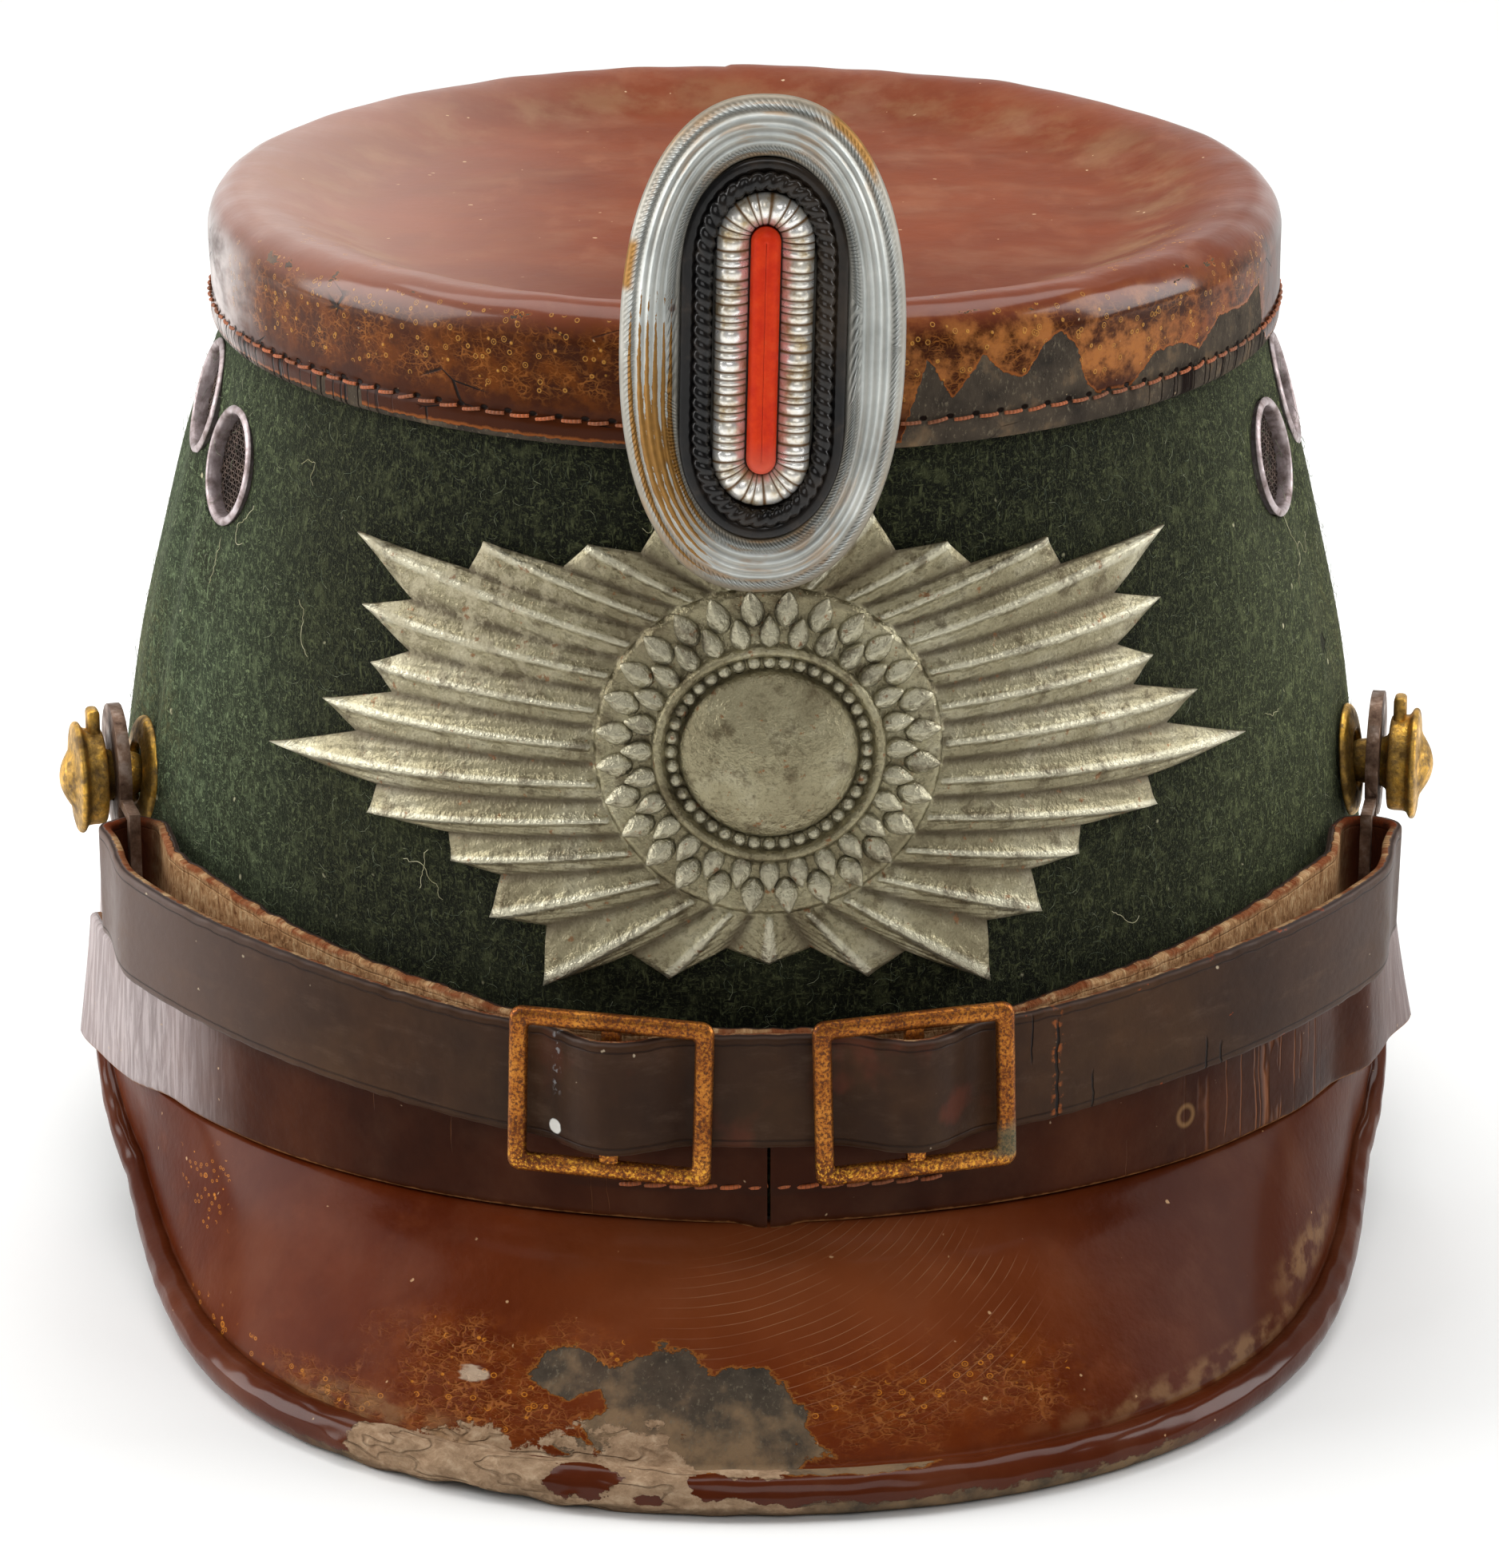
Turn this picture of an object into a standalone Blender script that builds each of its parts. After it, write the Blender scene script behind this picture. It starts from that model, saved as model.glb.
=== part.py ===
"""A cloth-covered shako with a lacquered leather crown, band and peaks.

Metres, +Z up, front towards -Y, standing on the edges of its two peaks. The origin is on the floor, in the
middle of the hat's length and width. Angles run round the hat's oval: 0 is the front, +90 is +X.
"""

import math

import bmesh
import bpy
from mathutils import Matrix, Vector

GAP = 0.0003  # clearance between neighbouring pieces
HAT_SEGMENTS = 60  # points round a whole oval

# The oval of the head opening, at the lower edge of the leather band. The hat leans back a little as it stands.
BASE_HALF_WIDTH = 0.0873
BASE_HALF_LENGTH = 0.1030
FRONT_REACH = 0.0264  # how far the front peak stands out beyond the band
REAR_REACH = 0.0166
OVAL_Y = (FRONT_REACH - REAR_REACH) / 2
BASE_Z = 0.0226
BASE_SLOPE = -0.038

# The oval at the lower edge of the crown's skirt, which sits further forward than the base.
CROWN_HALF_WIDTH = 0.0682
CROWN_HALF_LENGTH = 0.0820
CROWN_SHIFT = -0.0195
CROWN_Z = 0.1213
CROWN_SLOPE = 0.019
WALL_CURVE = 2.0  # above 1, the wall bellies out between base and crown

CLOTH_INSET = 0.0023  # from the band's outer face to the cloth at the base
CLOTH_THICKNESS = 0.0030
VENTS = (("front", 65.0, 0.1065), ("rear", 78.0, 0.1115))  # place, angle, height
VENT_RADIUS = 0.0073

SKIRT_THICKNESS = 0.0018
SKIRT_HEIGHT = 0.0160
ROLL_RADIUS = 0.0045
DISH_DEPTH = 0.0045
DISH_WIDTH = 0.0170

BAND_HEIGHT = 0.0172
BAND_THICKNESS = 0.0018
BAND_OVERLAP = (64.0, 76.0)  # the front band lies over the rear band between these angles
BAND_FLARE = 0.0008
FRONT_SEAM_GAP = 0.0008

PEAK_THICKNESS = 0.0018
BEAD_RADIUS = 0.0021
PEAK_ROOT = 0.0045  # how far the peak runs in under the wall
FRONT_PEAK_END = 80.0
REAR_PEAK_END = 66.0
PEAK_FULLNESS = 2.6  # above 1, the peak's edge stays out further round before it runs in
PEAK_TAPER = 3.0

STRAP_WIDTH = 0.0140
STRAP_THICKNESS = 0.0016
STRAP_FRONT_Z = 0.0443
STRAP_RISE = {-1: 0.0096, 1: 0.0078}  # from the front to the lug on each side
STRAP_TURN_ANGLE = 61.0
STRAP_TURN_RADIUS = 0.0036

BUCKLE_ANGLE = {-1: 11.5, 1: 10.4}
BUCKLE_WIDTH = 0.0245
BUCKLE_HEIGHT = 0.0205
BUCKLE_BAR = 0.0023
BUCKLE_DEPTH = 0.0016
BUCKLE_ROLL = 1.5

POST_ANGLE = 70.0
POST_Z = 0.0630
POST_DIRECTION = 77.0
WASHER_RADIUS = 0.0072
LUG_THICKNESS = 0.0016

PLATE_Z = 0.0845
PLATE_HALF_WIDTH = 0.0600
PLATE_HALF_HEIGHT = 0.0335
PLATE_RAYS = 28
PLATE_STAND_OFF = 0.0008

COCKADE_X = -0.0010
COCKADE_Z = 0.1333
COCKADE_HALF_WIDTH = 0.0160
COCKADE_HALF_HEIGHT = 0.0283
COCKADE_BAR = 0.0033  # width of the red bar
COCKADE_BACK = 0.1078  # from the middle of the base oval to the cockade's back


def material(name, colour, roughness, metallic=0.0):
    made = bpy.data.materials.new(name)
    made.use_nodes = True
    shader = made.node_tree.nodes["Principled BSDF"]
    shader.inputs["Base Color"].default_value = (*colour, 1.0)
    shader.inputs["Roughness"].default_value = roughness
    shader.inputs["Metallic"].default_value = metallic
    return made


def add_object(name, mesh, finish, sharp=35.0):
    bm = bmesh.new()
    bm.from_mesh(mesh)
    bmesh.ops.recalc_face_normals(bm, faces=bm.faces)
    bm.to_mesh(mesh)
    bm.free()
    mesh.shade_smooth()
    mesh.set_sharp_from_angle(angle=math.radians(sharp))
    made = bpy.data.objects.new(name, mesh)
    bpy.context.scene.collection.objects.link(made)
    mesh.materials.append(finish)
    return made


def skin(name, rows, finish, ring=True, loop=False):
    """A closed solid through rows of points. Each row is a ring, or one point for a pole. loop joins last to first."""
    bm = bmesh.new()
    made = [[bm.verts.new(point) for point in row] for row in rows]
    pairs = list(zip(made, made[1:])) + ([(made[-1], made[0])] if loop else [])
    for lower, upper in pairs:
        count = max(len(lower), len(upper))
        for i in range(count if ring else count - 1):
            j = (i + 1) % count
            if len(lower) == 1:
                bm.faces.new((lower[0], upper[j], upper[i]))
            elif len(upper) == 1:
                bm.faces.new((lower[i], lower[j], upper[0]))
            else:
                bm.faces.new((lower[i], lower[j], upper[j], upper[i]))
    if not loop:
        for end in (made[0], made[-1]):
            if len(end) > 2:
                bm.faces.new(end)
    mesh = bpy.data.meshes.new(name)
    bm.to_mesh(mesh)
    bm.free()
    return add_object(name, mesh, finish)


def spread(start, end, count):
    return [start + (end - start) * i / (count - 1) for i in range(count)]


def smooth_step(start, end, value):
    share = min(1.0, max(0.0, (value - start) / (end - start)))
    return share * share * (3 - 2 * share)


def base_z(y):
    return BASE_Z + BASE_SLOPE * (y - OVAL_Y)


def crown_z(y):
    return CROWN_Z + CROWN_SLOPE * (y - OVAL_Y)


def oval_point(half_width, half_length, centre_y, degrees, outward=0.0):
    """A point on an oval, moved outward along the oval's normal."""
    angle = math.radians(degrees)
    normal = Vector((math.sin(angle) / half_width, -math.cos(angle) / half_length)).normalized()
    x = half_width * math.sin(angle) + normal.x * outward
    y = centre_y - half_length * math.cos(angle) + normal.y * outward
    return x, y


def base_point(degrees, outward=0.0, rise=0.0):
    """A point at the base oval, rise above the band's lower edge."""
    x, y = oval_point(BASE_HALF_WIDTH, BASE_HALF_LENGTH, OVAL_Y, degrees, outward)
    return Vector((x, y, base_z(y) + rise))


def wall_sizes(share, inset=CLOTH_INSET):
    """Half width, half length and centre of the cloth wall at a share of its height, 0 at the base and 1 at the crown."""
    bend = share**WALL_CURVE
    width = BASE_HALF_WIDTH - inset + (CROWN_HALF_WIDTH - SKIRT_THICKNESS - BASE_HALF_WIDTH + inset - GAP) * bend
    length = BASE_HALF_LENGTH - inset + (CROWN_HALF_LENGTH - SKIRT_THICKNESS - BASE_HALF_LENGTH + inset - GAP) * bend
    return width, length, OVAL_Y + CROWN_SHIFT * bend


def wall_point(degrees, share, outward=0.0):
    width, length, centre = wall_sizes(share)
    x, y = oval_point(width, length, centre, degrees, outward)
    return Vector((x, y, base_z(y) + (crown_z(y) - base_z(y)) * share))


def wall_share(z, y):
    return (z - base_z(y)) / (crown_z(y) - base_z(y))


def wall_front(x, z, outward):
    """The point of the wall's front that lies behind (x, z) in a front view, moved outward."""
    y = OVAL_Y - BASE_HALF_LENGTH
    for _ in range(3):
        width, length, centre = wall_sizes(wall_share(z, y))
        sine = max(-1.0, min(1.0, x / width))
        y = centre - length * math.sqrt(1 - sine * sine)
    degrees = math.degrees(math.asin(sine))
    px, py = oval_point(width, length, centre, degrees, outward)
    return Vector((px, py, z))


def wall_frame(degrees, z, facing=None):
    """Origin on the cloth and axes for a fitting: local Z points out, local Y up.

    With a facing the axes stand upright and look that way; without one they lie on the wall.
    """
    share = wall_share(z, OVAL_Y)
    for _ in range(3):
        point = wall_point(degrees, share)
        share += (z - point.z) / (crown_z(point.y) - base_z(point.y))
    if facing is None:
        across = (wall_point(degrees + 1.0, share) - point).normalized()
        rise = wall_point(degrees, share + 0.01) - point
        out = across.cross(rise).normalized()
    else:
        angle = math.radians(facing)
        out = Vector((math.copysign(math.sin(angle), degrees), -math.cos(angle), 0.0))
        across = Vector((0.0, 0.0, 1.0)).cross(out)
    return Matrix.Translation(point) @ Matrix((across, out.cross(across), out)).transposed().to_4x4()


def angles(count=HAT_SEGMENTS):
    return [360.0 * i / count for i in range(count)]


def circle(radius, z, count, centre=(0.0, 0.0)):
    return [
        Vector((centre[0] + radius * math.cos(a), centre[1] + radius * math.sin(a), z))
        for a in (2 * math.pi * i / count for i in range(count))
    ]


def turned(name, profile, frame, finish, segments=18):
    """A solid turned about the frame's local Z. The profile holds (radius, height) pairs; a radius of 0 is a pole."""
    closed = profile[0][0] > 0
    rows = [
        [frame @ Vector((0.0, 0.0, height))] if radius == 0 else [frame @ p for p in circle(radius, height, segments)]
        for radius, height in profile
    ]
    return skin(name, rows, finish, loop=closed)


def cutter(name, frame, radius, start, end, segments=24):
    rows = [[frame @ p for p in circle(radius, height, segments)] for height in (start, end)]
    return helper(skin(name, rows, bpy.data.materials[0]))


def helper(made):
    made.hide_render = True
    made.display_type = "WIRE"
    return made


def block(name, frame, low, high, finish):
    rows = [
        [frame @ Vector(c) for c in ((low[0], low[1], z), (high[0], low[1], z), (high[0], high[1], z), (low[0], high[1], z))]
        for z in (low[2], high[2])
    ]
    return skin(name, rows, finish)


def boolean(target, other, operation):
    step = target.modifiers.new(other.name, "BOOLEAN")
    step.object = other
    step.operation = operation
    return step


def sided(side):
    return "left" if side < 0 else "right"


# ---- cloth wall -------------------------------------------------------------------------------------------------


def cloth_wall(finish, cloth_top):
    """The tapered wall: cloth over a stiff shell, open at the base and under the crown."""
    outer = [[wall_point(a, share) for a in angles()] for share in spread(0.0, cloth_top, 6)]
    inner = [[wall_point(a, share, -CLOTH_THICKNESS) for a in angles()] for share in spread(cloth_top, 0.0, 4)]
    wall = skin("cloth_body", outer + inner, finish, loop=True)
    for place, degrees, height in VENTS:
        for side in (-1, 1):
            frame = wall_frame(side * degrees, height)
            name = f"vent_cutter_{sided(side)}_{place}"
            boolean(wall, cutter(name, frame, VENT_RADIUS + GAP, -0.012, 0.012), "DIFFERENCE")
    return wall


def vents(finish):
    """A metal eyelet in each vent hole, with its gauze as a thin disc set back in the eyelet."""
    lip, sleeve, gauze = VENT_RADIUS, 0.0008, 0.0005
    front = 0.0005
    back = -CLOTH_THICKNESS
    middle = -0.0012
    profile = (
        (0.0, middle),
        (lip - sleeve, middle),
        (lip - sleeve, front + 0.0003),
        (lip, front),
        (lip, back),
        (lip - sleeve, back),
        (lip - sleeve, middle - gauze),
        (0.0, middle - gauze),
    )
    for place, degrees, height in VENTS:
        for side in (-1, 1):
            turned(f"vent_{sided(side)}_{place}", profile[::-1], wall_frame(side * degrees, height), finish)


# ---- crown ------------------------------------------------------------------------------------------------------


def crown_cap(finish):
    """The lacquered crown: a dished top, a rolled rim and a skirt stitched over the cloth."""

    def ring(inset, rise):
        points = []
        for degrees in angles():
            x, y = oval_point(CROWN_HALF_WIDTH, CROWN_HALF_LENGTH, OVAL_Y + CROWN_SHIFT, degrees, -inset)
            points.append(Vector((x, y, crown_z(y) + rise)))
        return points

    def centre(rise):
        y = OVAL_Y + CROWN_SHIFT
        return [Vector((0.0, y, crown_z(y) + rise))]

    roll = [
        ring(ROLL_RADIUS * (1 - math.cos(a)), SKIRT_HEIGHT - ROLL_RADIUS * (1 - math.sin(a)))
        for a in (math.radians(d) for d in (0, 30, 60, 90))
    ]
    dish = [
        ring(ROLL_RADIUS + DISH_WIDTH * share, SKIRT_HEIGHT - DISH_DEPTH * (0.5 - 0.5 * math.cos(math.pi * share)))
        for share in (0.3, 1.0)
    ]
    floor = SKIRT_HEIGHT - DISH_DEPTH
    under = SKIRT_HEIGHT - DISH_DEPTH - SKIRT_THICKNESS
    rows = [centre(floor), ring(0.045, floor)] + dish[::-1] + roll[::-1]
    rows += [ring(0.0, 0.0), ring(SKIRT_THICKNESS, 0.0), ring(SKIRT_THICKNESS, under - 0.001)]
    rows += [ring(0.020, under), centre(under)]
    return skin("crown_cap", rows, finish)


# ---- leather band -----------------------------------------------------------------------------------------------


def band_piece(name, start, end, count, finish, step_out=None, flare=0.0):
    """A strip of band leather along the wall's foot. step_out gives how far it is lifted at an angle."""
    top = BAND_HEIGHT / (CROWN_Z - BASE_Z)
    rows = []
    for degrees in spread(start, end, count):
        lift = GAP + (step_out(degrees) if step_out else 0.0)
        kick = flare * smooth_step(60.0, 76.0, abs(degrees)) if flare else 0.0
        inner, outer = lift, lift + BAND_THICKNESS
        rows.append(
            [
                wall_point(degrees, 0.0, inner + kick),
                wall_point(degrees, 0.0, outer + kick),
                wall_point(degrees, top / 2, outer),
                wall_point(degrees, top, outer),
                wall_point(degrees, top, inner),
                wall_point(degrees, top / 2, inner),
            ]
        )
    return skin(name, rows, finish)


def leather_band(finish):
    """The rear band runs round the back. Two front halves butt at a seam and lie over its ends."""
    overlap_start, overlap_end = BAND_OVERLAP
    band_piece("rear_band", overlap_start + 2.0, 360.0 - overlap_start - 2.0, 40, finish)

    def over_rear_band(degrees):
        return (BAND_THICKNESS + GAP) * smooth_step(overlap_start - 6.0, overlap_start, abs(degrees))

    seam = math.degrees(FRONT_SEAM_GAP / 2 / BASE_HALF_WIDTH)
    for side in (-1, 1):
        name = f"front_band_{sided(side)}"
        band_piece(name, side * seam, side * overlap_end, 18, finish, over_rear_band, BAND_FLARE)


# ---- peaks ------------------------------------------------------------------------------------------------------


def peak(name, middle, end, reach, flat_to, lift_power, finish, count):
    """A moulded peak: a thin sheet that runs out and down from under the band to a beaded edge.

    Its bead stands on the floor near the middle and rises to the band at both ends.
    """
    rows = []
    for turn in spread(-end, end, count):
        degrees = middle + turn
        share = abs(turn) / end
        out = reach * (1.0 - share**PEAK_FULLNESS) ** PEAK_TAPER
        x, y = oval_point(BASE_HALF_WIDTH, BASE_HALF_LENGTH, OVAL_Y, degrees, out)
        full_drop = base_z(y)
        rise = max(0.0, (abs(turn) - flat_to) / (end - flat_to)) ** lift_power
        bead = BEAD_RADIUS * (1.0 - 0.45 * share**4)
        drop = full_drop + (2 * bead + GAP + 0.0018 - full_drop) * rise
        rows.append(peak_section(degrees, max(out, bead * 0.9), drop, bead))
    return skin(name, rows, finish)


def peak_section(degrees, out, drop, bead):
    """Section of a peak at one angle, as points out from the band's foot and down from it."""
    root_top = -GAP
    bead_out, bead_down = out - bead, drop - bead
    top, under = [], []
    for share in (0.0, 0.3, 0.65):
        level = root_top - (bead_down - bead * 0.6) * share**1.2
        top.append((-0.0004 + (bead_out + 0.0004 - bead * 0.5) * share, level))
        under.append((top[-1][0] - PEAK_THICKNESS * 0.55 * min(1.0, share * 3), level - PEAK_THICKNESS * 0.8))
    rim = [
        (bead_out + bead * math.cos(math.radians(a)), -bead_down + bead * math.sin(math.radians(a)))
        for a in (115, 65, 15, -35)
    ]
    foot = [(bead_out + bead * 0.35, -drop), (bead_out - bead * 0.35, -drop)]
    heel = [(bead_out + bead * math.cos(math.radians(a)), -bead_down + bead * math.sin(math.radians(a))) for a in (205,)]
    outline = [(-PEAK_ROOT, root_top)] + top + rim + foot + heel + under[::-1]
    outline.append((-PEAK_ROOT, root_top - PEAK_THICKNESS * 0.8))
    points = []
    for outward, rise in outline:
        x, y = oval_point(BASE_HALF_WIDTH, BASE_HALF_LENGTH, OVAL_Y, degrees, outward)
        _, foot_y = oval_point(BASE_HALF_WIDTH, BASE_HALF_LENGTH, OVAL_Y, degrees, out)
        level = base_z(y) if rise > -PEAK_THICKNESS * 2 else base_z(foot_y)
        points.append(Vector((x, y, level + rise)))
    return points


# ---- chin strap -------------------------------------------------------------------------------------------------


def strap_z(degrees):
    """Height of the strap's middle, level across the front and rising to the lugs."""
    rise = STRAP_RISE[-1 if degrees < 0 else 1]
    return STRAP_FRONT_Z + rise * smooth_step(14.0, 70.0, abs(degrees))


def inner_offset(degrees):
    """Centre of the strap's inner layer, outward from the band's face: on the band in front, on the cloth at the sides."""
    on_band = 0.0004 + STRAP_THICKNESS / 2
    return on_band - 0.0031 * smooth_step(53.0, STRAP_TURN_ANGLE, abs(degrees))


def outer_offset(degrees):
    """The outer layer lies on the inner one in front, stands off it at the sides and passes over each buckle's middle bar."""
    layer_gap = 0.0004 + (2 * STRAP_TURN_RADIUS - STRAP_THICKNESS - 0.0004) * smooth_step(24.0, 56.0, abs(degrees))
    away = abs(abs(degrees) - BUCKLE_ANGLE[-1 if degrees < 0 else 1])
    half_window = math.degrees((BUCKLE_WIDTH / 2 - BUCKLE_BAR - 0.0010) / BASE_HALF_WIDTH)
    hump = 0.0
    if away < half_window:
        hump = (BUCKLE_DEPTH + STRAP_THICKNESS + 0.0012) * (0.5 + 0.5 * math.cos(math.pi * away / half_window))
    return inner_offset(degrees) + STRAP_THICKNESS + layer_gap + hump


def strap_route():
    """(angle, outward offset) of the strap's centre line all the way round: outer layer, turn, inner layer, turn."""
    front = STRAP_TURN_ANGLE
    buckle_zone = spread(-22.0, 22.0, 45)
    outer = spread(-front, -24.0, 10) + buckle_zone + spread(24.0, front, 10)
    inner = spread(front, -front, 40)
    middle = inner_offset(front) + STRAP_TURN_RADIUS
    speed = math.radians(1.0) * math.hypot(
        BASE_HALF_WIDTH * math.cos(math.radians(front)), BASE_HALF_LENGTH * math.sin(math.radians(front))
    )
    turn = [
        (STRAP_TURN_RADIUS * math.sin(a) / speed, middle + STRAP_TURN_RADIUS * math.cos(a))
        for a in (math.radians(d) for d in (30, 60, 90, 120, 150))
    ]
    route = [(d, outer_offset(d)) for d in outer]
    route += [(front + ahead, offset) for ahead, offset in turn]
    route += [(d, inner_offset(d)) for d in inner]
    route += [(-front - ahead, offset) for ahead, offset in turn[::-1]]
    return route


def chin_strap(finish):
    """One leather strap, doubled: it turns round the bar of a lug at each side and passes over the buckles' bars."""
    centre = []
    for degrees, offset in strap_route():
        x, y = oval_point(BASE_HALF_WIDTH, BASE_HALF_LENGTH, OVAL_Y, degrees, offset)
        centre.append(Vector((x, y, strap_z(max(-STRAP_TURN_ANGLE, min(STRAP_TURN_ANGLE, degrees))))))
    rows = []
    half = Vector((0.0, 0.0, STRAP_WIDTH / 2))
    for i, point in enumerate(centre):
        along = centre[(i + 1) % len(centre)] - centre[i - 1]
        across = Vector((along.y, -along.x, 0.0)).normalized() * (STRAP_THICKNESS / 2)
        rows.append([point - across - half, point + across - half, point + across + half, point - across + half])
    return skin("chin_strap", rows, finish, loop=True)


def buckles(finish):
    """Two slide buckles: a flat frame in front of the strap, and a middle bar that the outer layer passes over."""
    for side in (-1, 1):
        degrees = side * BUCKLE_ANGLE[side]
        flat = inner_offset(0.0) + STRAP_THICKNESS * 1.5 + 0.0004 + GAP + 0.0004
        x, y = oval_point(BASE_HALF_WIDTH, BASE_HALF_LENGTH, OVAL_Y, degrees, flat)
        tangent_slope = math.atan2(
            BASE_HALF_LENGTH * math.sin(math.radians(degrees)), BASE_HALF_WIDTH * math.cos(math.radians(degrees))
        )
        frame = Matrix.Translation((x, y, strap_z(degrees) - 0.0004))
        frame = frame @ Matrix.Rotation(tangent_slope, 4, "Z")
        frame = frame @ Matrix.Rotation(math.radians(-side * BUCKLE_ROLL), 4, "Y")
        frame = frame @ Matrix.Rotation(math.radians(90.0), 4, "X")
        name = f"buckle_{sided(side)}"
        made = buckle_frame(name, frame, finish)
        reach = BUCKLE_HEIGHT / 2 - BUCKLE_BAR / 2
        bar = block(f"{name}_bar", frame, (-0.0011, -reach, 0.0002), (0.0011, reach, BUCKLE_DEPTH - 0.0003), finish)
        boolean(made, helper(bar), "UNION")


def buckle_frame(name, frame, finish):
    """A rectangular frame with rounded corners, flat on the back and chamfered on the face."""

    def outline(inset, height):
        radius = 0.0016 if inset < BUCKLE_BAR / 2 else 0.0006
        half_x = BUCKLE_WIDTH / 2 - inset - radius
        half_y = BUCKLE_HEIGHT / 2 - inset - radius
        corners = ((half_x, half_y, 0), (-half_x, half_y, 90), (-half_x, -half_y, 180), (half_x, -half_y, 270))
        points = []
        for cx, cy, start in corners:
            for turn in (0, 45, 90):
                a = math.radians(start + turn)
                points.append(frame @ Vector((cx + radius * math.cos(a), cy + radius * math.sin(a), height)))
        return points

    chamfer = 0.0004
    rows = [
        outline(0.0, 0.0),
        outline(0.0, BUCKLE_DEPTH - chamfer),
        outline(chamfer, BUCKLE_DEPTH),
        outline(BUCKLE_BAR - chamfer, BUCKLE_DEPTH),
        outline(BUCKLE_BAR, BUCKLE_DEPTH - chamfer),
        outline(BUCKLE_BAR, 0.0),
    ]
    return skin(name, rows, finish, loop=True)


# ---- side fittings ----------------------------------------------------------------------------------------------


def side_fittings(brass, dark_metal):
    """On each side a washer, a headed post and a lug: the lug hangs on the post and holds the strap's turn."""
    for side in (-1, 1):
        where = sided(side)
        frame = wall_frame(side * POST_ANGLE, POST_Z, POST_DIRECTION)
        washer = ((0.0037, 0.0004), (WASHER_RADIUS, 0.0004), (WASHER_RADIUS - 0.0005, 0.0017), (0.0037, 0.0020))
        turned(f"side_washer_{where}", washer, wall_frame(side * POST_ANGLE, POST_Z), brass)
        post(f"side_post_{where}", frame, brass)
        lug(f"strap_lug_{where}", frame, side, dark_metal)


def post(name, frame, finish):
    """A turned post with a drum head, a thin flange and a small dome, and a key on top of the drum."""
    stem, drum, flange, dome = 0.0029, 0.0062, 0.0071, 0.0034
    profile = (
        (0.0, 0.0008),
        (stem, 0.0008),
        (stem, 0.0058),
        (drum, 0.0058),
        (drum, 0.0086),
        (flange, 0.0088),
        (flange, 0.0095),
        (dome, 0.0098),
        (dome * 0.75, 0.0110),
        (0.0, 0.0115),
    )
    made = turned(name, profile, frame, finish)
    key = block(f"{name}_key", frame, (-0.0016, 0.0040, 0.0062), (0.0016, 0.0090, 0.0078), finish)
    boolean(made, helper(key), "UNION")
    return made


def lug(name, frame, side, finish):
    """A flat plate with an eye on the post and, ahead and below, a window whose front bar the strap turns round."""
    turn = strap_turn(frame, side)
    low, high = turn.z - LUG_THICKNESS / 2, turn.z + LUG_THICKNESS / 2
    skin_step = 0.0001
    half_bar, half_window, rail = 0.0011, STRAP_WIDTH / 2 + 0.0004, 0.0013
    rows = [[frame @ p for p in circle(0.0080, z, 24, (0.0, 0.0012))] for z in (low, high)]
    made = skin(name, rows, finish)
    # The front of the hat lies along local -X on the right side and along +X on the left.
    ahead = -side
    near, far = 0.0035, abs(turn.x) + half_bar
    x_low, x_high = sorted((ahead * near, ahead * far))
    outer = block(
        f"{name}_frame",
        frame,
        (x_low, turn.y - half_window - rail, low + skin_step),
        (x_high, turn.y + half_window + rail, high - skin_step),
        finish,
    )
    x_low, x_high = sorted((ahead * (near + 0.0022), ahead * (abs(turn.x) - half_bar)))
    window = block(
        f"{name}_window",
        frame,
        (x_low, turn.y - half_window, low - 0.001),
        (x_high, turn.y + half_window, high + 0.001),
        finish,
    )
    boolean(made, helper(outer), "UNION")
    boolean(made, helper(window), "DIFFERENCE")
    boolean(made, cutter(f"{name}_eye", frame, 0.0034, low - 0.001, high + 0.001), "DIFFERENCE")
    return made


def strap_turn(frame, side):
    """The middle of the strap's turn in the post's frame."""
    offset = inner_offset(STRAP_TURN_ANGLE) + STRAP_TURN_RADIUS
    x, y = oval_point(BASE_HALF_WIDTH, BASE_HALF_LENGTH, OVAL_Y, side * STRAP_TURN_ANGLE, offset)
    return frame.inverted() @ Vector((x, y, strap_z(side * STRAP_TURN_ANGLE)))


# ---- front plate ------------------------------------------------------------------------------------------------


def ray_length(index):
    """Share of the plate's half size that each ray reaches: eight long points with shorter rays between them."""
    return (1.0, 0.86, 0.78, 0.86)[index % 4]


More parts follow.
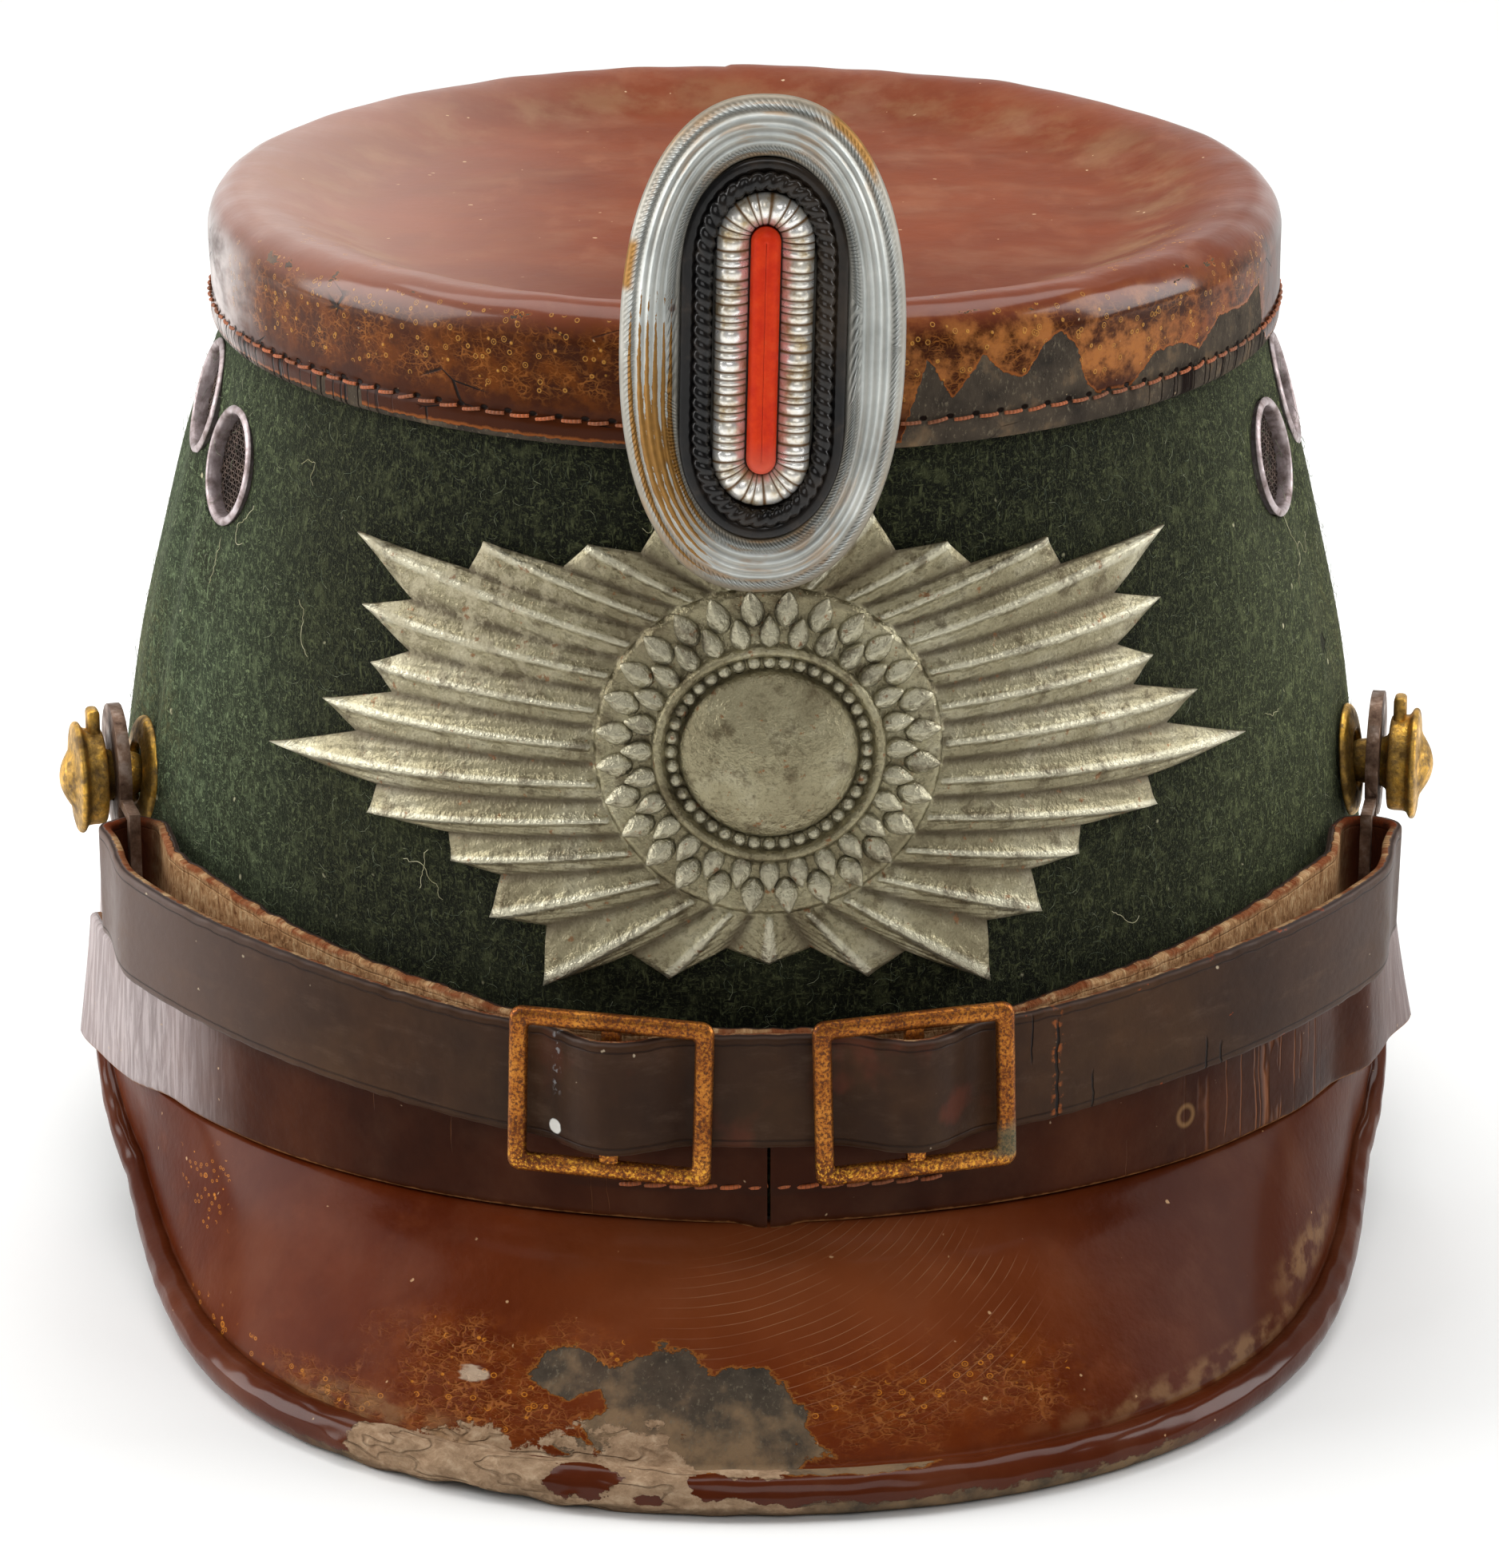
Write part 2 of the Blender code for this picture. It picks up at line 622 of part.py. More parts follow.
def front_plate(finish):
    """A cast badge bent round the wall: rays about a wreath ring and a plain domed boss."""
    spokes = range(2 * PLATE_RAYS)
    foot = 0.0200  # radius where the rays start

    def point(size_x, size_z, spoke, height):
        angle = math.pi * spoke / PLATE_RAYS
        return wall_front(size_x * math.sin(angle), PLATE_Z + size_z * math.cos(angle), PLATE_STAND_OFF + height)

    def ring(radius, height):
        return [point(radius, radius, spoke, height) for spoke in spokes]

    def ray_row(share, crest, valley):
        """A row of the rays, share of the way from their feet to their tips; a crest and a valley take turns."""
        row = []
        for spoke in spokes:
            tips = (ray_length(spoke // 2), ray_length((spoke + 1) // 2))
            tip = tips[0] if spoke % 2 == 0 else min(tips) * 0.93
            size_x = foot + (PLATE_HALF_WIDTH * tip - foot) * share
            size_z = foot + (PLATE_HALF_HEIGHT * tip - foot) * share
            row.append(point(size_x, size_z, spoke, valley if spoke % 2 else crest))
        return row

    boss = ((0.0050, 0.0041), (0.0090, 0.0030), (0.0098, 0.0018), (0.0112, 0.0030), (0.0124, 0.0018))
    wreath = ((0.0160, 0.0036), (0.0195, 0.0016))
    rows = [[wall_front(0.0, PLATE_Z, PLATE_STAND_OFF)], ring(0.0105, 0.0), ring(foot, 0.0)]
    rows += [ray_row(share, 0.0, 0.0) for share in (0.25, 0.5, 0.75, 1.0)]
    slope = ((1.0, 0.0010), (0.75, 0.0014), (0.5, 0.0018), (0.25, 0.0020))
    rows += [ray_row(share, height, height * 0.55) for share, height in slope]
    rows += [ring(radius, height) for radius, height in wreath[::-1] + boss[::-1]]
    rows += [[wall_front(0.0, PLATE_Z, PLATE_STAND_OFF + 0.0045)]]
    return skin("front_plate", rows, finish)


# ---- cockade ----------------------------------------------------------------------------------------------------


def cockade_ring(inset, forward, count=28):
    """A ring of the cockade, inset from its edge: oval outside, straighter along the sides towards the middle."""
    power = 2 / 2.3
    half_width, half_height = COCKADE_HALF_WIDTH - inset, COCKADE_HALF_HEIGHT - inset
    straight = smooth_step(0.0, 0.8, inset / COCKADE_HALF_WIDTH)
    y = OVAL_Y - COCKADE_BACK - forward
    points = []
    for i in range(count):
        a = 2 * math.pi * (i + 0.5) / count
        cosine, sine = math.cos(a), math.sin(a)
        oval_x = half_width * math.copysign(abs(cosine) ** power, cosine)
        oval_z = half_height * math.copysign(abs(sine) ** power, sine)
        slot_z = half_width * sine + math.copysign(half_height - half_width, sine)
        x = oval_x + (half_width * cosine - oval_x) * straight
        points.append(Vector((COCKADE_X + x, y, COCKADE_Z + oval_z + (slot_z - oval_z) * straight)))
    return points


def cockade_pole(forward):
    return [Vector((COCKADE_X, OVAL_Y - COCKADE_BACK - forward, COCKADE_Z))]


def cockade(silver, black, red):
    """An oval cockade: a grooved silver plate that carries a black corded ring, a silver gimp ring and a red bar."""
    floor = 0.0009
    rim = ((0.0, 0.0), (0.0, 0.0006), (0.0005, 0.0010), (0.0058, 0.0022), (0.0064, 0.0020), (0.0064, floor))
    rows = [cockade_pole(0.0)] + [cockade_ring(inset, forward) for inset, forward in rim]
    rows += [cockade_pole(floor)]
    plate = skin("cockade_plate", rows, silver)
    stem_end = CROWN_SHIFT - CROWN_HALF_LENGTH + OVAL_Y - GAP
    stem_frame = Matrix.Translation((0.0, 0.0, CROWN_Z + SKIRT_HEIGHT * 0.35))
    back = OVAL_Y - COCKADE_BACK - floor / 2
    stem = block("cockade_stem", stem_frame, (-0.003, back, -0.001), (0.003, stem_end, 0.001), silver)
    boolean(plate, helper(stem), "UNION")

    seat = floor + GAP
    corded = ((0.0067, seat), (0.0067, 0.0022), (0.0082, 0.0023), (0.0093, 0.0030), (0.0103, 0.0023), (0.0103, seat))
    gimp = ((0.0106, seat), (0.0106, 0.0020), (0.0113, 0.0031), (0.0124, 0.0034), (0.0135, 0.0028), (0.0139, seat))
    for name, section, finish in (("cockade_cord_ring", corded, black), ("cockade_gimp_ring", gimp, silver)):
        rows = [cockade_ring(inset, forward) for inset, forward in section]
        skin(name, rows, finish, loop=True)
    bar = [cockade_ring(COCKADE_HALF_WIDTH - COCKADE_BAR / 2, forward) for forward in (seat, 0.0030)]
    skin("cockade_centre", [cockade_pole(seat)] + bar + [cockade_pole(0.0034)], red)


# ---- the hat ----------------------------------------------------------------------------------------------------


def main():
    for old in list(bpy.data.objects):
        bpy.data.objects.remove(old)
    lacquer = material("brown_lacquer", (0.20, 0.055, 0.025), 0.30)
    cloth = material("green_cloth", (0.035, 0.055, 0.040), 0.95)
    strap_leather = material("strap_leather", (0.060, 0.035, 0.028), 0.55)
    brass = material("aged_brass", (0.42, 0.27, 0.09), 0.45, 0.9)
    steel = material("dull_steel", (0.35, 0.33, 0.31), 0.45, 0.9)
    cast_metal = material("cast_white_metal", (0.45, 0.42, 0.34), 0.42, 0.9)
    silver = material("cockade_silver", (0.62, 0.63, 0.62), 0.35, 0.9)
    black = material("black_paint", (0.012, 0.012, 0.014), 0.40)
    red = material("red_paint", (0.62, 0.030, 0.012), 0.50)

    # The crown's underside rests on the wall's top edge.
    under_crown = SKIRT_HEIGHT - DISH_DEPTH - SKIRT_THICKNESS - 0.001 - GAP
    cloth_wall(cloth, 1.0 + under_crown / (CROWN_Z - BASE_Z))
    crown_cap(lacquer)
    vents(steel)
    leather_band(lacquer)
    peak("front_peak", 0.0, FRONT_PEAK_END, FRONT_REACH, 15.0, 3.5, lacquer, 33)
    peak("rear_peak", 180.0, REAR_PEAK_END, REAR_REACH, 20.0, 2.5, lacquer, 21)
    chin_strap(strap_leather)
    buckles(brass)
    side_fittings(brass, steel)
    front_plate(cast_metal)
    cockade(silver, black, red)


main()
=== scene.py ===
"""The looks of a cloth-covered shako with a lacquered leather crown, band and peaks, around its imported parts.

Metres, +Z up, front towards -Y, standing on the edges of its two peaks. Angles run round the hat's oval:
0 is the front and +90 is +X. The sections follow the order in which the hat is put together.
"""

import functools
import math

import bmesh
import bpy
import numpy as np
from mathutils import Matrix, Vector


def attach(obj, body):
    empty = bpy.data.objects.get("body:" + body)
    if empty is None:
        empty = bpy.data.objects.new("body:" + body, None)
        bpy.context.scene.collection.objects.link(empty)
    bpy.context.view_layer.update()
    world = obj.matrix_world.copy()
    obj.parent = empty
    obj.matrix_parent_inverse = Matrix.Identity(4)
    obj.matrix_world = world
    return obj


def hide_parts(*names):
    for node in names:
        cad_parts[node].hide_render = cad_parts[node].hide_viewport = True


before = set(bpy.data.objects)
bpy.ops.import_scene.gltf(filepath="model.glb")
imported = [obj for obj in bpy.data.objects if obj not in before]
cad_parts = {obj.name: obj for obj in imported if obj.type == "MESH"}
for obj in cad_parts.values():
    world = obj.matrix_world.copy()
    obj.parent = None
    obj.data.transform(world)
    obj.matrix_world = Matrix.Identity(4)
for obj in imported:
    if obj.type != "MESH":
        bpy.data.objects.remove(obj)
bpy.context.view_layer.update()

# ---- studio ----
# A long lens a little above the hat, a white table that sweeps up behind it, and four large soft lights.


def aimed(name, data, place, target):
    """A camera or light at a place, facing a target."""
    made = bpy.data.objects.new(name, data)
    made.location = place
    made.rotation_euler = (Vector(target) - made.location).to_track_quat("-Z", "Y").to_euler()
    bpy.context.scene.collection.objects.link(made)
    return made


def softbox(name, place, size, watts):
    """A large flat light that faces the middle of the hat."""
    light = bpy.data.lights.new(name, "AREA")
    light.shape = "RECTANGLE"
    light.size, light.size_y = size
    light.energy = watts
    aimed(name, light, place, (0, 0, 0.07))


long_lens = bpy.data.cameras.new("camera")
long_lens.lens = 117.88
long_lens.sensor_width = 36
CAMERA_PLACE, CAMERA_TARGET = (-0.02257, -0.6641, 0.25388), (0.00139, 0.0049, 0.04935)
bpy.context.scene.camera = aimed("camera", long_lens, CAMERA_PLACE, CAMERA_TARGET)
bpy.context.scene.view_settings.view_transform = "Standard"


softbox("left_softbox", (-1, 0.08, 0.5), (0.7, 0.9), 11.5)
softbox("right_softbox", (1.05, 0.08, 0.55), (0.6, 0.8), 8.8)
softbox("overhead_softbox", (0, 0.25, 1.15), (1.3, 0.9), 12.5)
softbox("front_softbox", (0.1, -1.25, 1), (1, 0.7), 5)

room = bpy.data.worlds.new("white_room")
room.use_nodes = True
room_glow = room.node_tree.nodes["Background"]
room_glow.inputs["Color"].default_value = (1, 1, 1, 1)
room_glow.inputs["Strength"].default_value = 0.12
bpy.context.scene.world = room

SWEEP = ((-1.6, 0), (0.75, 0), (0.95, 0.02), (1.1, 0.1), (1.2, 0.26), (1.24, 0.5), (1.25, 1.6))  # y, z
table_mesh = bpy.data.meshes.new("table_sweep")
table_mesh.from_pydata(
    [(x, y, z) for y, z in SWEEP for x in (-2.2, 2.2)],
    [],
    [(2 * i, 2 * i + 1, 2 * i + 3, 2 * i + 2) for i in range(len(SWEEP) - 1)],
)
table_mesh.shade_smooth()
table_sweep = bpy.data.objects.new("table_sweep", table_mesh)
bpy.context.scene.collection.objects.link(table_sweep)
table_paper = bpy.data.materials.new("white_paper")
table_paper.use_nodes = True
paper_shader = table_paper.node_tree.nodes["Principled BSDF"]
paper_shader.inputs["Base Color"].default_value = (0.88, 0.88, 0.87, 1)
paper_shader.inputs["Roughness"].default_value = 0.9
table_mesh.materials.append(table_paper)

# ---- cloth wall ----
# Green wool cloth over a stiff shell of brown board, tapered to the crown and open at the foot. Four round
# vents are cut through both layers. The nap is darker in front and painted paler at the sides as sheen, and
# paler still on the left as the light from that side.

GAP = 0.0003
OVAL_Y = 0.0049
FOOT = (0.0873, 0.103, OVAL_Y)  # half width, half length and middle of the oval at the band's lower edge
BASE_Z = 0.0226
BASE_SLOPE = -0.038
CROWN_SHIFT = -0.0195
CROWN = (0.0682, 0.082, OVAL_Y + CROWN_SHIFT)  # the oval at the lower edge of the crown's skirt
CROWN_Z = 0.1213
CROWN_SLOPE = 0.019
CLOTH_INSET = 0.0023
CLOTH_THICKNESS = 0.003
CLOTH_TOP = 1.085  # share of the wall's height at which the cloth ends, under the crown
SKIRT_THICKNESS = 0.0018
VENTS = (("front", 65, 0.1065), ("rear", 78, 0.1115))  # place, angle, height
VENT_RADIUS = 0.0073
SIDES = {"left": -1, "right": 1}
FOLDS = (  # soft upright folds in the cloth: angle, width in degrees, rise in metres
    (-67, 2.6, 0.0009), (-71.5, 2.4, -0.0007), (-76, 3, 0.0007), (-84, 4, -0.0006),
    (70, 2.5, -0.0003), (74, 3, 0.0004), (83, 4, -0.0004), (126, 5, 0.0005),
    (-140, 6, 0.0005),
)


def smooth_step(start, end, value):
    share = np.clip((np.asarray(value, float) - start) / (end - start), 0, 1)
    return share * share * (3 - 2 * share)


def hump(value, middle, width):
    return np.exp(-(((np.asarray(value, float) - middle) / width) ** 2))


def ripple(across, up, size, seed):
    """A smooth uneven surface between about -1 and 1, whose bumps are about size apart."""
    waves = np.random.default_rng(seed).random((9, 3))
    total = 0
    for turn, stretch, phase in waves:
        a, reach = math.tau * turn, math.tau / (size * (0.7 + 0.9 * stretch))
        total = total + np.sin((across * math.cos(a) + up * math.sin(a)) * reach + math.tau * phase)
    return total / math.sqrt(len(waves)) * 0.8


def base_height(y):
    return BASE_Z + BASE_SLOPE * (y - OVAL_Y)


def crown_height(y):
    return CROWN_Z + CROWN_SLOPE * (y - OVAL_Y)


def oval(shape, degrees, outward=0):
    """x and y of points on an oval, moved outward along its normal."""
    half_width, half_length, middle = shape
    angle = np.radians(degrees)
    out_x, out_y = np.sin(angle) / half_width, -np.cos(angle) / half_length
    size = np.hypot(out_x, out_y)
    x = half_width * np.sin(angle) + out_x / size * outward
    return x, middle - half_length * np.cos(angle) + out_y / size * outward


def wall_sizes(share):
    """Half width, half length and centre of the cloth wall at a share of its height."""
    bend = share**2
    trim = CLOTH_INSET - SKIRT_THICKNESS - GAP
    pairs = zip(FOOT[:2], CROWN[:2])
    width, length = (foot - CLOTH_INSET + (crown - foot + trim) * bend for foot, crown in pairs)
    return width, length, OVAL_Y + CROWN_SHIFT * bend


def wall(degrees, share, outward=0):
    """Points of the cloth's face at an angle and a share of the height, 0 at the foot and 1 at the skirt."""
    degrees, share, outward = np.broadcast_arrays(degrees, share, outward)
    x, y = oval(wall_sizes(share), degrees, outward)
    return np.stack([x, y, base_height(y) + (crown_height(y) - base_height(y)) * share], -1)


def wall_share(z, y):
    return (z - base_height(y)) / (crown_height(y) - base_height(y))


def wall_frame(degrees, z, facing=None):
    """Axes for a fitting on the cloth: Z points out and Y up. With a facing they stand upright."""
    share = wall_share(z, OVAL_Y)
    for _ in range(4):
        point = wall(degrees, share)
        share += (z - point[2]) / (crown_height(point[1]) - base_height(point[1]))
    point = Vector(point)
    if facing is None:
        across = (Vector(wall(degrees + 1, share)) - point).normalized()
        out = across.cross(Vector(wall(degrees, share + 0.01)) - point).normalized()
    else:
        angle = math.radians(facing)
        out = Vector((math.copysign(math.sin(angle), degrees), -math.cos(angle), 0))
        across = Vector((0, 0, 1)).cross(out)
    return Matrix.Translation(point) @ Matrix((across, out.cross(across), out)).transposed().to_4x4()


def running(steps):
    """How far along each step starts, from 0, and how far they reach together."""
    return np.concatenate([[0], np.cumsum(steps)])


def round_length(degrees, shape=FOOT):
    """Distance round an oval from the front, in metres, for angles in degrees."""
    turn = np.radians(np.linspace(-360, 360, 2881))
    step = np.hypot(shape[0] * np.cos(turn), shape[1] * np.sin(turn)) * (turn[1] - turn[0])
    length = running((step[1:] + step[:-1]) / 2)
    return np.interp(np.radians(degrees), turn, length - np.interp(0, turn, length))


def skin(name, rows, along, up, around=True, loop=True, marks=None, sharp=None):
    """A mesh through a grid of points: rows that each run round the piece, and columns that run over it.

    along and up are the flat place of each column and row in metres, for the weave and grain to follow.
    marks are named values at the points, for wear that follows the shape. The faces end up pointing outwards.
    """
    rows = np.asarray(rows, float)
    count, width = rows.shape[:2]
    i, j = np.meshgrid(
        np.arange(count if loop else count - 1), np.arange(width if around else width - 1), indexing="ij"
    )
    corners = ((i, j), (i, j + 1), (i + 1, j + 1), (i + 1, j))
    faces = np.stack([(r % count) * width + c % width for r, c in corners], -1).reshape(-1, 4)
    along, up = np.asarray(along, float), np.asarray(up, float)
    flat = np.stack([np.stack([along[c], up[r]], -1) for r, c in corners], -2).reshape(-1, 2)
    mesh = bpy.data.meshes.new(name)
    mesh.from_pydata(rows.reshape(-1, 3), [], faces)
    mesh.uv_layers.new(name="flat").data.foreach_set("uv", flat.ravel())
    for key, values in (marks or {}).items():
        spread = np.ascontiguousarray(np.broadcast_to(values, (count, width)), dtype=np.float32)
        mesh.attributes.new(key, "FLOAT", "POINT").data.foreach_set("value", spread.ravel())
    return closed(mesh, sharp)


def as_mesh(name, worked):
    """A plain mesh from one worked on in memory, which is let go."""
    mesh = bpy.data.meshes.new(name)
    worked.to_mesh(mesh)
    worked.free()
    return mesh


def closed(mesh, sharp=None):
    """Merges a mesh's doubled points, points its faces outwards and shades it smooth."""
    bm = bmesh.new()
    bm.from_mesh(mesh)
    bmesh.ops.remove_doubles(bm, verts=bm.verts, dist=1e-7)
    bmesh.ops.delete(bm, geom=[edge for edge in bm.edges if not edge.link_faces], context="EDGES")
    if bm.calc_volume(signed=True) < 0:
        bmesh.ops.reverse_faces(bm, faces=bm.faces)
    bm.to_mesh(mesh)
    bm.free()
    mesh.shade_smooth()
    if sharp:
        mesh.set_sharp_from_angle(angle=math.radians(sharp))
    return mesh


def place(name, mesh, *finishes):
    """An object for a finished mesh, with its materials."""
    made = bpy.data.objects.new(name, mesh)
    bpy.context.scene.collection.objects.link(made)
    mesh.materials.clear()
    for finish in finishes:
        mesh.materials.append(finish)
    return made


def fit(name, mesh, node, slot, *finishes):
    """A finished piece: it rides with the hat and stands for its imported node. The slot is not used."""
    piece = place(name, mesh, *finishes)
    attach(piece, "root")
    if node:
        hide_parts(node)


def plain_mesh(made, name):
    """The object's mesh with its modifiers applied. The object itself is removed."""
    bpy.context.view_layer.update()
    mesh = bpy.data.meshes.new_from_object(made.evaluated_get(bpy.context.evaluated_depsgraph_get()))
    mesh.name = name
    bpy.data.objects.remove(made)
    return mesh


class Value:
    """What a node gives out. Values add, subtract and multiply, and by name or number give its other outputs.

    A value also takes the recipe's steps as its own: up.span(0.1, 0.2) is r.span(up, 0.1, 0.2).
    """

    def __init__(self, recipe, socket):
        self.recipe, self.socket = recipe, socket

    def __getitem__(self, output):
        return Value(self.recipe, self.socket.node.outputs[output])

    def __getattr__(self, step):
        return functools.partial(getattr(self.recipe, step), self)

    def __add__(self, other):
        return self.recipe.sums("ADD", self, other)

    def __radd__(self, other):
        return self.recipe.sums("ADD", other, self)

    def __sub__(self, other):
        return self.recipe.sums("SUBTRACT", self, other)

    def __rsub__(self, other):
        return self.recipe.sums("SUBTRACT", other, self)

    def __mul__(self, other):
        return self.recipe.sums("MULTIPLY", self, other)

    def __rmul__(self, other):
        return self.recipe.sums("MULTIPLY", other, self)


def paint(red, green, blue):
    """A colour as the eye names it, 0 to 255, in the shader's own units."""
    linear = (((c / 255 + 0.055) / 1.055) ** 2.4 if c > 10 else c / 3294.6 for c in (red, green, blue))
    return (*linear, 1)


def dye(colour):
    """Three whole numbers name a colour as the eye does. Anything else is used as it is."""
    whole = isinstance(colour, tuple) and len(colour) == 3 and all(isinstance(c, int) for c in colour)
    return paint(*colour) if whole else colour


class Recipe:
    """The nodes of one finish or shape, with a short call for each kind of node that the hat uses."""

    def __init__(self, tree, end):
        self.tree, self.end = tree, end

    def add(self, kind, settings=None, numbered=None, **named):
        """A new node's first output. settings are its own; the rest feeds its inputs by number or name."""
        node = self.tree.nodes.new(kind)
        for key, value in (settings or {}).items():
            setattr(node, key, value)
        for key, value in (numbered or {}).items():
            self.feed(node.inputs[key], value)
        for key, value in named.items():
            self.feed(node.inputs[key.replace("_", " ")], value)
        return Value(self, node.outputs[0])

    def feed(self, socket, value):
        if isinstance(value, Value):
            self.tree.links.new(value.socket, socket)
        else:
            socket.default_value = value

    def set(self, **inputs):
        """Feeds the shader's inputs, or what an effect gives out."""
        for key, value in inputs.items():
            self.feed(self.end.inputs[key.replace("_", " ")], value)

    def sums(self, operation, *values, clamp=False):
        settings = {"operation": operation, "use_clamp": clamp}
        return self.add("ShaderNodeMath", settings, dict(enumerate(values)))

    def most(self, first, *others):
        for other in others:
            first = self.sums("MAXIMUM", first, other)
        return first

    def size(self, value):
        return self.sums("ABSOLUTE", value)

    def span(self, value, low, high, to_low=0, to_high=1):
        """Smoothly 0 below low and 1 above high. With low above high it runs the other way."""
        if low > high:
            low, high, to_low, to_high = high, low, to_high, to_low
        given = dict(enumerate((value, low, high, to_low, to_high)))
        return self.add("ShaderNodeMapRange", {"interpolation_type": "SMOOTHSTEP"}, given)

    def window(self, value, low, high, soft):
        """1 between low and high, with soft shoulders."""
        return self.span(value, low - soft, low + soft) * self.span(value, high + soft, high - soft)

    def noise(self, at, scale, detail=3, rough=0.5, bend=0):
        sizes = {"Scale": scale, "Detail": detail, "Roughness": rough, "Distortion": bend}
        return self.add("ShaderNodeTexNoise", Vector=at, **sizes)

    def patches(self, at, scale, low, high, detail=3, rough=0.5):
        """Patches of noise, smoothly 0 where it is below low and 1 where it is above high."""
        return self.span(self.noise(at, scale, detail, rough), low, high)

    def cells(self, at, scale, feature="F1", output="Distance"):
        return self.add("ShaderNodeTexVoronoi", {"feature": feature}, Vector=at, Scale=scale)[output]

    def edges(self, at, scale):
        """Distance to the nearest line of a net of cracks."""
        return self.cells(at, scale, "DISTANCE_TO_EDGE")

    def ramp(self, value, *stops):
        """A colour or grey for each place of the value, blended between."""
        made = self.add("ShaderNodeValToRGB", None, {0: value})
        band = made.socket.node.color_ramp.elements
        while len(band) < len(stops):
            band.new(0.5)
        for stop, (place, colour) in zip(band, stops):
            stop.position = place
            stop.color = dye(colour) if isinstance(colour, tuple) else (colour, colour, colour, 1)
        return made

    def mix(self, share, a, b):
        """From colour a to colour b by a share."""
        return self.add("ShaderNodeMix", {"data_type": "RGBA"}, {0: share, 6: dye(a), 7: dye(b)})[2]

    def over(self, colour, *layers):
        """A colour with (share, colour) layers laid over it in turn."""
        for share, laid in layers:
            colour = self.mix(share, colour, laid)
        return colour

    def blend(self, share, a, b):
        return self.add("ShaderNodeMix", None, {0: share, 2: a, 3: b})

    def stretch(self, at, x=1, y=1, z=1, turn=0, move=(0, 0, 0)):
        """The place drawn out along its axes, and turned by degrees about Z or about all three."""
        turn = tuple(math.radians(t) for t in (turn if isinstance(turn, tuple) else (0, 0, turn)))
        return self.add("ShaderNodeMapping", Vector=at, Scale=(x, y, z), Rotation=turn, Location=move)

    def split(self, vector):
        return self.add("ShaderNodeSeparateXYZ", Vector=vector)

    def join(self, x=0, y=0, z=0):
        return self.add("ShaderNodeCombineXYZ", X=x, Y=y, Z=z)

    def vectors(self, operation, a, b):
        return self.add("ShaderNodeVectorMath", {"operation": operation}, {0: a, 1: b})

    def scaled(self, vector, size):
        return self.add("ShaderNodeVectorMath", {"operation": "SCALE"}, Vector=vector, Scale=size)

    def stray(self, at, scale, reach, detail=2):
        """The place moved about by up to reach metres, so that edges that follow it are ragged."""
        off = self.add("ShaderNodeTexNoise", Vector=at, Scale=scale, Detail=detail)["Color"]
        off = self.vectors("SUBTRACT", off, (0.5, 0.5, 0.5))
        return self.vectors("ADD", at, self.scaled(off, 2 * reach))

    def far(self, at, point):
        """Distance from a point, in metres."""
        return self.vectors("DISTANCE", at, tuple(point))["Value"]

    def relief(self, height, depth, under=None):
        """A bump from a height between 0 and 1, as deep as depth in metres."""
        below = {} if under is None else {"Normal": under}
        return self.add("ShaderNodeBump", Height=height, Distance=depth, **below)

    def place(self):
        return self.add("ShaderNodeTexCoord")["Object"]

    def flat(self):
        return self.add("ShaderNodeUVMap", {"uv_map": "flat"})

    def mark(self, name):
        return self.add("ShaderNodeAttribute", {"attribute_name": name})["Fac"]

    def effect(self, tree, **inputs):
        """A shared effect, placed with this finish's own values."""
        return self.add("ShaderNodeGroup", {"node_tree": tree}, **inputs)


def new_material(name, **plain):
    """A material with plain values on its shader, and the recipe to add to it."""
    made = bpy.data.materials.new(name)
    made.use_nodes = True
    recipe = Recipe(made.node_tree, made.node_tree.nodes["Principled BSDF"])
    recipe.set(**plain)
    return made, recipe


def finish(name, clouds, *stops, **plain):
    """A material whose colour clouds from stop to stop, with its recipe, place, clouds and colour."""
    made, recipe = new_material(name, **plain)
    where = recipe.place()
    cloud = where.noise(*clouds)
    colour = cloud.ramp(*stops)
    recipe.set(Base_Color=colour)
    return made, recipe, where, cloud, colour


SOCKETS = dict(Place="Vector", Colour="Color", Ground="Geometry", Shape="Geometry", Finish="Material")


def node_group(name, kind, gives, **takes):
    """An empty group with named inputs and outputs, numbers unless in SOCKETS, and the recipe to fill it."""
    tree = bpy.data.node_groups.new(name, kind)
    for way, sockets in (("INPUT", takes), ("OUTPUT", dict.fromkeys(gives))):
        for key, value in sockets.items():
            sort = "NodeSocket" + SOCKETS.get(key, "Float")
            socket = tree.interface.new_socket(key.replace("_", " "), in_out=way, socket_type=sort)
            if value is not None:
                socket.default_value = value
    recipe = Recipe(tree, tree.nodes.new("NodeGroupOutput"))
    recipe.given = recipe.add("NodeGroupInput")
    return tree, recipe


def shared_effect(name, *gives, **takes):
    """An empty effect for several finishes, the recipe to fill it, and the place that it is given."""
    tree, recipe = node_group(name, "ShaderNodeTree", gives, Place=None, **takes)
    return tree, recipe, recipe.given["Place"]


# Dust: fine pale specks, and a thin film where it has settled.
dust, r, where = shared_effect("settled_dust", "Specks", "Film", Amount=0.5)
specks = where.cells(420).span(0.16, 0.1) * where.patches(900, 0.66, 0.72, 1)
r.set(Specks=specks, Film=where.patches(75, 0.42, 0.75, 6, 0.65) * r.given["Amount"])


def wall_folds(degrees, share):
    rise = sum(size * hump(degrees, angle, width) for angle, width, size in FOLDS)
    rise = rise + 0.00025 * ripple(np.asarray(degrees) * 0.0015, np.asarray(share) * 0.098, 0.03, 4)
    return rise * smooth_step(0.18, 0.34, share) * smooth_step(1, 0.86, share)


